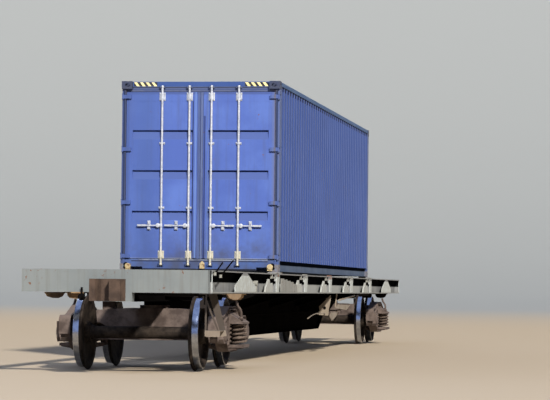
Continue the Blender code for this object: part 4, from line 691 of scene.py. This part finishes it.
def side_frame(word, side_word, x, side):
    shape = bmesh.new()
    outline = list(SIDE_OUTLINE) + [(-a, b, r) for a, b, r in reversed(SIDE_OUTLINE)]
    mirrored = [(-a, b, r) for a, b, r in reversed(ARM_WINDOW)]
    rings = [rounded(ring) for ring in (outline, SPRING_WINDOW, ARM_WINDOW, mirrored)]
    middle = side * FRAME_Y
    cast_plate(shape, rings, x, middle - FRAME_HALF_THICKNESS, middle + FRAME_HALF_THICKNESS,
               RIM_WIDTH, RIM_DEPTH)
    # The seat under the springs, and the ribs that carry it
    reach = (middle - SEAT_REACH, middle + SEAT_REACH)
    box(shape, (x - WINDOW_REACH, x + WINDOW_REACH), reach, (SEAT_UNDER, SEAT_TOP - 0.001))
    for rib in (-0.27, -0.09, 0.09, 0.27):
        for way in (-1, 1):
            root = middle + way * (FRAME_HALF_THICKNESS - 0.02)
            tip = middle + way * (SEAT_REACH - 0.02)
            loft(shape, [[(x + rib + t, root, SEAT_UNDER + 0.002), (x + rib + t, tip, SEAT_UNDER + 0.002),
                          (x + rib + t, tip, SEAT_UNDER - 0.010), (x + rib + t, root, 0.262)]
                         for t in (-0.010, 0.010)])
    made = new_object(f"cast_side_frame_{word}_{side_word}", shape, [cast_steel])
    soften(made, 0.006)
    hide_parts(f"bogie_{word}_side_frame_{side_word}")
    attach(made, f"bogie_{word}")


for word, x in BOGIE_PLACES.items():
    for side_word, side in SIDES.items():
        side_frame(word, side_word, x, side)
print("side frames cast")

# %% [markdown]
# ## Bearing covers
#
# The end of each axle turns in a box that closes with a round cover and a ring of bolts.

# %% Bearing covers
COVER_BOLTS = 8
BOLT_CIRCLE = 0.083


def bearing_cover(word, place_word, side_word, x, side):
    shape = bmesh.new()
    at = (x, 0, AXLE_HEIGHT)
    profile = [(1.118, 0.100), (1.1405, 0.100), (1.1445, 0.094), (1.1445, 0.070), (1.1405, 0.066),
               (1.1405, 0.052), (1.1475, 0.046), (1.1495, 0.020)]
    turned(shape, profile, 40, at, "Y", way=side)
    for k in range(COVER_BOLTS):
        turn = 2 * math.pi * (k + 0.5) / COVER_BOLTS
        spot = (x + BOLT_CIRCLE * math.cos(turn), 0, AXLE_HEIGHT + BOLT_CIRCLE * math.sin(turn))
        turned(shape, ((1.140, 0.0095), (1.1525, 0.0095), (1.1545, 0.0070)), 6, spot, "Y", way=side)
    made = new_object(f"bearing_cover_{word}_{place_word}_{side_word}", shape, [cast_steel])
    soften(made, 0.0012)
    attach(made, f"bogie_{word}")


for word, end_word, x in axles():
    for side_word, side in SIDES.items():
        bearing_cover(word, end_word, side_word, x, side)
print("bearing covers bolted on")

# %% [markdown]
# ## Door gear
#
# Each door is held by two upright bars that turn in bolted guides. Cams at their ends bite behind keepers,
# and a handle on each bar lies in a catch on the door. Guides, hubs and cams are drop forgings, dipped in
# zinc with the bars. They are built from boxes and turned parts, with a small bevel on every edge.

# %% Lock bars
BOX_BOTTOM = 1.361
LEAF_FACE_X = -6.055
BAR_X = -6.075
BAR_RADIUS = 0.0175
BAR_LOW = BOX_BOTTOM + 0.095
BAR_HIGH = BOX_BOTTOM + 2.828
BAR_STEPS = 20
DOORS = {"left": (1, ((1, 0.590), (2, 0.170))), "right": (-1, ((3, 0.170), (4, 0.590)))}
# Level on the door, half width, height, bolt rows for each guide
GUIDES = ((2.660, 0.047, 0.125, (-0.045, 0.045)), (1.950, 0.043, 0.034, (0,)),
          (0.970, 0.043, 0.034, (0,)), (0.255, 0.047, 0.125, (-0.045, 0.045)))
HANDLE_LEVEL = BOX_BOTTOM + 0.700
# Along the handle from the bar: distance, half height, front, back
HANDLE_SHAPE = ((0.000, 0.017, -6.094, -6.078), (0.055, 0.015, -6.095, -6.082),
                (0.085, 0.009, -6.095, -6.084), (0.225, 0.010, -6.0955, -6.086),
                (0.250, 0.015, -6.0955, -6.087), (0.360, 0.014, -6.0955, -6.087),
                (0.368, 0.010, -6.0955, -6.087))
CATCH_AT = 0.190
HUB_AT = 0.048


def lock_bar(number, side_word, side, place):
    y = side * place
    shape = bmesh.new()
    turned(shape, [(BAR_LOW, BAR_RADIUS), (BAR_HIGH, BAR_RADIUS)], BAR_STEPS, (BAR_X, y, 0), "Z")
    for level, half, height, bolts in GUIDES:
        z = BOX_BOTTOM + level
        box(shape, (LEAF_FACE_X - 0.007, LEAF_FACE_X - 0.0004), (y - half, y + half),
            (z - height / 2, z + height / 2))
        saddle = height / 2 * 0.8
        box(shape, (-6.088, LEAF_FACE_X - 0.005), (y - 0.027, y + 0.027), (z - saddle, z + saddle))
        turned(shape, [(z - saddle, 0.0245), (z + saddle, 0.0245)], BAR_STEPS, (BAR_X + 0.004, y, 0), "Z")
        for row in bolts:
            for way in (-1, 1):
                turned(shape, [(-0.0135, 0.0045), (-0.0115, 0.0070), (0, 0.0075)], 6,
                       (LEAF_FACE_X - 0.005, y + way * (half - 0.010), z + row), "X")
    for z, way in ((BAR_LOW, 1), (BAR_HIGH, -1)):
        near, far = sorted((z, z + way * 0.030))
        turned(shape, [(near, 0.0200), (near + 0.003, 0.0215), (far - 0.003, 0.0215), (far, 0.0200)],
               BAR_STEPS, (BAR_X + 0.001, y, 0), "Z")
    low, high = HANDLE_LEVEL - 0.030, HANDLE_LEVEL + 0.030
    turned(shape, [(low, 0.020), (low + 0.008, 0.0215), (high - 0.008, 0.0215), (high, 0.020)],
           BAR_STEPS, (BAR_X + 0.001, y, 0), "Z")
    turned(shape, [(-6.0955, 0.026), (-6.0935, 0.033), (-6.0800, 0.034)], BAR_STEPS,
           (0, y + side * HUB_AT, HANDLE_LEVEL), "X")
    sections = []
    for reach, half, front, back in HANDLE_SHAPE:
        at = y + side * reach
        sections.append([(front, at, HANDLE_LEVEL - half), (front, at, HANDLE_LEVEL + half),
                         (back, at, HANDLE_LEVEL + half), (back, at, HANDLE_LEVEL - half)])
    loft(shape, sections)
    at = y + side * CATCH_AT
    box(shape, (LEAF_FACE_X - 0.006, LEAF_FACE_X - 0.0004), (at - 0.024, at + 0.024),
        (HANDLE_LEVEL - 0.072, HANDLE_LEVEL + 0.072))
    box(shape, (-6.0845, LEAF_FACE_X - 0.004), (at - 0.020, at + 0.020),
        (HANDLE_LEVEL - 0.058, HANDLE_LEVEL - 0.020))
    box(shape, (-6.0845, LEAF_FACE_X - 0.004), (at - 0.014, at + 0.014),
        (HANDLE_LEVEL + 0.022, HANDLE_LEVEL + 0.066))
    made = new_object(f"forged_lock_bar_{number}", shape, [zinc])
    soften(made, 0.0018)
    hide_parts(f"lock_bar_{number}")
    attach(made, f"door_{side_word}")


for side_word, (side, bars) in DOORS.items():
    for number, place in bars:
        lock_bar(number, side_word, side, place)
print("lock bars made")

# %% [markdown]
# ## Rubber seals and height stripes
#
# A rubber seal is squeezed between the doors. It was sprayed over with them, so it reads as a duller
# grey-blue line. A high-cube box wears yellow and black stripes on its header, because it is taller than
# the common box.

# %% Seals
SEAL_TOP = 4.091
SEAL_BOTTOM = 1.561
SEAL_TONES = {"left": ("405281", "4d6093"), "right": ("50608c", "6071a0")}


def seal(side_word, side):
    shape = bmesh.new()
    face = LEAF_FACE_X + 0.009
    # Three strips side by side, each of its own depth
    for near, far, front in ((0.0045, 0.018, face - 0.004), (0.020, 0.030, face - 0.001),
                             (0.032, 0.0445, face - 0.006)):
        box(shape, (front, face + 0.0006), (side * near, side * far), (SEAL_BOTTOM, SEAL_TOP))
    rubber = grained(f"oversprayed_seal_rubber_{side_word}", *SEAL_TONES[side_word], (0.55, 0.75), 0.3,
                     120, stretch=(1, 1, 0.15), seed=51)
    made = new_object(f"joint_seal_{side_word}", shape, [rubber])
    soften(made, 0.0015)
    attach(made, f"door_{side_word}")


for side_word, side in SIDES.items():
    seal(side_word, side)
print("seals made")

# %% Height stripes
STRIPE_INNER = 0.676
STRIPE_OUTER = 1.036
STRIPE_LOW = BOX_BOTTOM + 2.820
STRIPE_HIGH = BOX_BOTTOM + 2.880
STRIPE_COUNT = 4
STRIPE_SLANT = 0.045
HEADER_FACE_X = -6.050
signal_yellow = painted_steel("faded_signal_yellow", "e9dfa0", "f0e9bd", "a09a72", 0.2)
signal_black = painted_steel("faded_signal_black", "23252c", "2f323a", "4a4a48", 0.2)


def height_stripes(side_word, side):
    """A thin painted plate, cut into slanting strips of two colours."""
    shape = bmesh.new()
    pitch = (STRIPE_OUTER - STRIPE_INNER) / STRIPE_COUNT / 2
    left = STRIPE_OUTER if side > 0 else -STRIPE_INNER
    strips = STRIPE_COUNT * 2
    for k in range(-1, strips + 1):
        # Strips lean, so their top and bottom limits are clamped to the plate's ends
        tops = [min(max(k + d, 0), strips) * pitch for d in (0, 1)]
        lean = STRIPE_SLANT / pitch
        lows = [min(max(k + d + lean, 0), strips) * pitch for d in (0, 1)]
        if max(tops[1] - tops[0], lows[1] - lows[0]) <= 0:
            continue
        ring = [(left - tops[0], STRIPE_HIGH), (left - tops[1], STRIPE_HIGH),
                (left - lows[1], STRIPE_LOW), (left - lows[0], STRIPE_LOW)]
        ring = list(dict.fromkeys(ring))
        if len(ring) > 2:
            loft(shape, [[(HEADER_FACE_X - d, y, z) for y, z in ring] for d in (0.0015, 0.0003)], k % 2)
    made = new_object(f"height_stripes_{side_word}", shape, [signal_yellow, signal_black])
    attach(made, "wagon")


for side_word, side in SIDES.items():
    height_stripes(side_word, side)
print("height stripes made")

# %% [markdown]
# ## Small gear of the frame
#
# Rods are tubes swept along a few points. Plates are flat outlines with a thickness, either across the
# wagon or along it. All of it stays inside the box round the solids.

# %% Paints and helpers for small gear
rigging_paint = painted_steel("dusty_rigging_paint", "888076", "9d948a", "5e564c", 0.7, sheen=0.1)
stop_paint = painted_steel("grey_stop_paint", "8c908f", "9b9f9d", "6f655c", 0.8, sheen=0.1)
shaded_paint = painted_steel("lit_strake_paint", "8b8f91", "989c9e", "6a655f", 0.6, sheen=0.0)
rusty_stop_paint = painted_steel("rusty_stop_paint", "9a7168", "ab867c", "6a524a", 0.9, sheen=0.1)
pin_paint = painted_steel("cream_pin_paint", "b2a27e", "beb08e", "94805e", 0.8, sheen=0.1)


def tube(shape, points, radius, sides=12, finish=0):
    """A round bar along a smooth line through the points."""
    knots = [Vector(p) for p in points]
    line = []
    for i in range(len(knots) - 1):
        before = knots[max(i - 1, 0)]
        one, two = knots[i], knots[i + 1]
        after = knots[min(i + 2, len(knots) - 1)]
        steps = 1 if len(knots) == 2 else 6
        for k in range(steps):
            t = k / steps
            line.append(0.5 * (2 * one + (two - before) * t
                               + (2 * before - 5 * one + 4 * two - after) * t ** 2
                               + (3 * one - before - 3 * two + after) * t ** 3))
    line.append(knots[-1])
    side = None
    sections = []
    for i, spot in enumerate(line):
        along = (line[min(i + 1, len(line) - 1)] - line[max(i - 1, 0)]).normalized()
        if side is None:
            helper = Vector((0, 0, 1)) if abs(along.z) < 0.9 else Vector((1, 0, 0))
            side = along.cross(helper).normalized()
        side = (side - along * side.dot(along)).normalized()
        other = along.cross(side)
        sections.append([spot + radius * (side * math.cos(2 * math.pi * k / sides)
                                          + other * math.sin(2 * math.pi * k / sides))
                         for k in range(sides)])
    loft(shape, sections, finish)


def cross_plate(shape, ring, x, thickness=0.012):
    """A plate across the wagon, from an outline of (y, z)."""
    loft(shape, [[(x + t, y, z) for y, z in ring] for t in (-thickness / 2, thickness / 2)])


def long_plate(shape, ring, faces, finish=0, middle=0.0, way=1):
    """A plate along the wagon, from an outline of (x, z) and the places of its two faces."""
    loft(shape, [[(middle + way * x, y, z) for x, z in ring] for y in faces], finish)


def wagon_piece(name, shape, materials, bevel=0.002):
    """A piece of small gear that rides with the wagon."""
    made = new_object(name, shape, materials)
    if bevel:
        soften(made, bevel)
    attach(made, "wagon")
    print(name, "made")


# %% Brake rigging
# The brake lever's bracket, the lever, and the rods that lead to both bogies
LEVER_FACES = (-1.156, -1.144)
rigging = bmesh.new()
cross_plate(rigging, ((-1.192, 1.023), (-1.102, 0.932), (-0.986, 0.814), (-0.996, 0.743), (-0.960, 0.671),
                      (-1.150, 0.655), (-1.167, 0.798), (-1.193, 0.924)), 0.5)
long_plate(rigging, ((1.44, 0.784), (1.96, 0.846), (3.77, 0.829), (3.13, 0.737), (2.35, 0.761)),
           LEVER_FACES)
cross_plate(rigging, ((-0.711, 0.638), (-0.750, 0.687), (-0.848, 0.679), (-0.732, 0.523)), 4.55)
long_plate(rigging, ((0.94, 0.712), (1.83, 0.704), (1.61, 0.637), (1.01, 0.560), (0.68, 0.645)),
           LEVER_FACES)
tube(rigging, ((1.80, -1.18, 0.925), (4.18, -1.18, 1.006)), 0.016)
tube(rigging, ((-2.20, -1.15, 0.631), (-1.24, -1.15, 0.700), (0.48, -1.10, 0.700)), 0.008)
turned(rigging, ((0.490, 0.028), (0.4935, 0.028)), 14, (0, -1.085, 0.790), "X", 1)
tube(rigging, ((1.50, -1.150, 0.800), (1.50, -1.165, 0.950), (1.50, -1.180, 1.046)), 0.012)
tube(rigging, ((2.60, -1.150, 0.780), (3.40, -0.95, 0.72), (4.55, -0.78, 0.64)), 0.012)
for points in (((3.70, -0.319, 0.558), (3.70, -0.464, 0.637)),
               ((-8.30, -0.42, 0.700), (3.60, -0.42, 0.700)),
               ((4.60, -0.42, 0.700), (8.30, -0.42, 0.700))):
    tube(rigging, points, 0.012, finish=1)
wagon_piece("brake_rigging", rigging, [rigging_paint, dark_steel])

# %% Lifting plates
# A tan plate hangs under each sill beside the near bolster
lift_paint = painted_steel("tan_lifting_plate_paint", "98826a", "a99379", "76604c", 0.9, sheen=0.05)
LIFT_PLATE = ((10.899, 1.042), (10.740, 0.985), (10.423, 0.961), (10.102, 0.958), (9.819, 0.983),
              (9.682, 1.042))
lift = bmesh.new()
for side in SIDES.values():
    long_plate(lift, LIFT_PLATE, (side * 1.232, side * 1.244), way=-1)
wagon_piece("lifting_plates", lift, [lift_paint])

# %% Folding stops
# Folding stops line the upper edge of both sills, each with a plate, an arm and two round bosses
BRACKET_STEP = 19.0 / 6
# Outline of the plate that a folded stop rests on, beside its bracket
STOP_BASE = ((-1.20, 1.066), (-1.14, 1.140), (-0.98, 1.205), (-0.87, 1.258), (-0.78, 1.258), (-0.75, 1.180),
             (-0.60, 1.180), (-0.55, 1.200), (-0.50, 1.200), (-0.44, 1.066))
LOW_BOSS = ((1.2485, 0.021), (1.2560, 0.021), (1.2585, 0.015))
HIGH_BOSS = ((1.2502, 0.016), (1.2600, 0.016), (1.2625, 0.010))
GREY, RUSTY, LIGHT = 0, 1, 2
base_paint = painted_steel("light_stop_plate_paint", "a9b0b3", "b7bdbf", "7c766e", 0.6, sheen=0.0)
stop_paints = [stop_paint, rusty_stop_paint, base_paint]
for side_word, side in SIDES.items():
    stops = bmesh.new()
    for k in range(-2, 3):
        middle = k * BRACKET_STEP
        tint = RUSTY if k == 0 else GREY
        long_plate(stops, STOP_BASE, (side * 1.2200, side * 1.2455), LIGHT, middle)
        box(stops, (middle - 0.55, middle - 0.51), (side * 1.215, side * 1.2490), (1.265, 1.3265))
        box(stops, (middle - 0.51, middle - 0.32), (side * 1.238, side * 1.2485), (1.268, 1.292))
        turned(stops, LOW_BOSS, 16, (middle - 0.235, 0, 1.290), "Y", tint, side)
        box(stops, (middle - 0.12, middle + 0.15), (side * 1.200, side * 1.2495), (1.3432, 1.3560), tint)
        turned(stops, HIGH_BOSS, 16, (middle + 0.02, 0, 1.310), "Y", tint, side)
    wagon_piece(f"folding_stops_{side_word}", stops, stop_paints)

# %% Sill fittings
# A bent stop lies along each sill in one bay, and a ring bracket stands beside the gusset
RING_SPOT = (8.20, 1.190)
STRAKE = ((-5.98, 1.066), (-5.95, 1.272), (-5.62, 1.272), (-5.60, 1.250), (-5.30, 1.262), (-5.25, 1.235),
          (-4.95, 1.243), (-4.90, 1.222), (-4.62, 1.226), (-4.58, 1.200), (-4.25, 1.190), (-4.20, 1.170),
          (-4.16, 1.066))
strake = bmesh.new()
for side in SIDES.values():
    ring_at = (side * RING_SPOT[0], 0, RING_SPOT[1])
    long_plate(strake, STRAKE, (side * 1.236, side * 1.246), way=-side)
    turned(strake, ((1.152, 0.040), (1.228, 0.040), (1.234, 0.034)), 20, ring_at, "Y", 1, side)
    turned(strake, ((1.2345, 0.020), (1.2360, 0.019)), 16, ring_at, "Y", 2, side)
    box(strake, (side * 8.18, side * 8.22), (side * 1.152, side * 1.222), (1.066, 1.152), 1)
wagon_piece("sill_fittings", strake, [shaded_paint, stop_paint, dark_steel])

# %% Lock pins
# Cream-painted pins lock the box's corners, and one more sits at the door sill
BOX_END = 6.0965
pins = bmesh.new()
for end in (1, -1):
    for side in SIDES.values():
        corner = (0, side * 1.092, 1.440)
        turned(pins, ((BOX_END, 0.046), (6.120, 0.046), (6.128, 0.038)), 20, corner, "X", way=end)
        box(pins, (end * BOX_END, end * 6.118), (side * 1.055, side * 1.128), (1.384, 1.425))
        turned(pins, ((BOX_END, 0.036), (6.0980, 0.036)), 16, (0, side * 1.126, 1.464), "X", 1, end)
box(pins, (-BOX_END, -6.115), (-0.018, -0.092), (1.410, 1.495))
turned(pins, ((6.122, 0.022), (6.114, 0.028), (BOX_END, 0.028)), 20, (0, -0.055, 1.490), "X", way=-1)
wagon_piece("corner_lock_pins", pins, [pin_paint, dark_steel], bevel=0)

# %% Corner rods
# Two slanting rods rise from the sill's edge at each of two opposite corners
rails = bmesh.new()
for side in SIDES.values():
    for one, two in (((11.36, 1.448), (11.949, 1.306)), ((10.511, 1.485), (11.499, 1.279))):
        points = ((side * one[0], side * 1.252, one[1]), (side * two[0], side * 1.258, two[1]))
        tube(rails, points, 0.010, 8)
        turned(rails, ((two[1] - 0.030, 0.022), (two[1] + 0.012, 0.022)), 12,
               (side * two[0], side * 1.250, 0), "Z", 1)
wagon_piece("corner_rods", rails, [dark_steel, stop_paint], bevel=0)

# %% End fittings
# The cock that closes the brake pipe at both ends, its handle, and the rod that opens the coupler
COCK = ((12.2505, 0.045), (12.30, 0.045), (12.31, 0.032), (12.36, 0.032), (12.37, 0.026), (12.40, 0.026))
for word, end in (("near", -1), ("far", 1)):
    ends = bmesh.new()
    cock_y = -end * 0.42
    turned(ends, COCK, 16, (0, cock_y, 0.985), "X", way=end)
    box(ends, (end * 12.262, end * 12.292), (cock_y - 0.012, cock_y + 0.012), (1.02, 1.11))
    rod_x = end * 12.17
    rod_y = end * 1.16
    tube(ends, ((rod_x, rod_y, 0.900), (rod_x, rod_y, 1.000), (rod_x, rod_y * 0.97, 1.020),
                (rod_x, rod_y * 0.55, 1.022), (rod_x, end * 0.30, 1.022)), 0.010)
    for share in (0.90, 0.45):
        at = rod_y * share
        box(ends, (end * 12.15, end * 12.19), (at - 0.010, at + 0.010), (1.008, 1.046))
    wagon_piece(f"end_fittings_{word}", ends, [dark_steel])

# %% Sensor levers
# A bent steel arm hangs in front of each spring nest, with a round head at its foot
LEVER_HEAD = ((1.232, 0.030), (1.262, 0.030), (1.268, 0.022))
for word, x in BOGIE_PLACES.items():
    sensor = bmesh.new()
    for side in SIDES.values():
        at = x + side * 0.20
        tube(sensor, ((at, side * 1.17, 0.945), (at, side * 1.19, 0.876), (at, side * 1.232, 0.81),
                      (at, side * 1.240, 0.731), (at, side * 1.210, 0.672)), 0.018)
        turned(sensor, LEVER_HEAD, 14, (at, 0, 0.70), "Y", way=side)
    made = new_object(f"sensor_levers_{word}", sensor, [cast_steel])
    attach(made, f"bogie_{word}")
print("sensor levers made")

# %% [markdown]
# ## Studio
#
# A plain pale floor curves up into a far backdrop. The key light stands high over the camera's right. It
# is broad, so shadows have soft edges, but it still lays the flange's shadow on the sill as the sun does.
# A weak back light, a soft box and a low fill from the room go with it.

# %% Floor, backdrop and lights
studio_floor, floor_tree, floor_shader = blank_material("pale_studio_floor")
FADE_START = 25
FADE_END = 130
floor_fade = soft_ramp(floor_tree, surface_place(floor_tree)["X"], FADE_START, FADE_END)
floor_colour = blend(floor_tree, floor_fade, "b4a999", "98a0a9")
floor_tree.links.new(floor_colour, floor_shader.inputs["Base Color"])
floor_shader.inputs["Roughness"].default_value = 0.9
floor_shader.inputs["Specular IOR Level"].default_value = 0.1
FLOOR_REACH = 220
COVE_START = 120
COVE_HEIGHT = 120


def studio():
    """A floor that curves up far behind the wagon, from an outline of (distance, height)."""
    shape = bmesh.new()
    outline = [(-FLOOR_REACH, 0), (COVE_START, 0)]
    for k in range(1, 13):
        turn = math.pi / 2 * k / 12
        outline.append((COVE_START + COVE_HEIGHT * math.sin(turn), COVE_HEIGHT * (1 - math.cos(turn))))
    rows = [[shape.verts.new((a, side * FLOOR_REACH, b)) for side in (-1, 1)] for a, b in outline]
    for one, two in zip(rows, rows[1:]):
        shape.faces.new((one[0], two[0], two[1], one[1]))
    made = new_object("studio_floor", shape, [studio_floor])


studio()

world = bpy.data.worlds.new("soft_studio")
bpy.context.scene.world = world
world.use_nodes = True
backing = world.node_tree.nodes["Background"]
# Bare metal mirrors a bright blue upper room, while the fill that it gives to paint stays low
glossy = add(world.node_tree, "LightPath").outputs["Is Glossy Ray"]
room = blend(world.node_tree, glossy, "dfe7f2", "9fb4e6")
world.node_tree.links.new(room, backing.inputs["Color"])
strength = add(world.node_tree, "MapRange", {"Value": glossy, "To Min": 0.10, "To Max": 1.05})
world.node_tree.links.new(strength.outputs[0], backing.inputs["Strength"])

bpy.context.scene.view_settings.view_transform = "Standard"


def lamp(name, kind, direction, strength, colour, place=(0, 0, 0), **settings):
    """A light that shines along a direction. Settings are the light's own properties."""
    made = bpy.data.objects.new(name, bpy.data.lights.new(name, kind))
    scene_objects.link(made)
    made.location = place
    made.rotation_euler = direction.to_track_quat("-Z", "Y").to_euler()
    made.data.energy = strength
    made.data.color = linear(colour)[:3]
    for word, value in settings.items():
        setattr(made.data, word, value)


lamp("key_light", "SUN", Vector((1.0, 0.55, -0.75)), 5.4, "fff4e4", angle=math.radians(4))
# A weak broad light from behind keeps the far side and the far end readable
lamp("back_light", "SUN", Vector((-1.0, -0.8, -0.45)), 1.1, "dfe8ff", angle=math.radians(40))
# A long soft box, high up between the camera and the wagon, draws the bright line on the worn treads
SOFT_BOX_PLACE = Vector((-33.0, 2.5, 24.0))
SOFT_BOX_TARGET = Vector((-10.9, 0.0, 0.6))
lamp("soft_box", "AREA", SOFT_BOX_TARGET - SOFT_BOX_PLACE, 3000, "e4ecff", SOFT_BOX_PLACE,
     shape="RECTANGLE", size=12.0, size_y=9.0)
print("studio set")
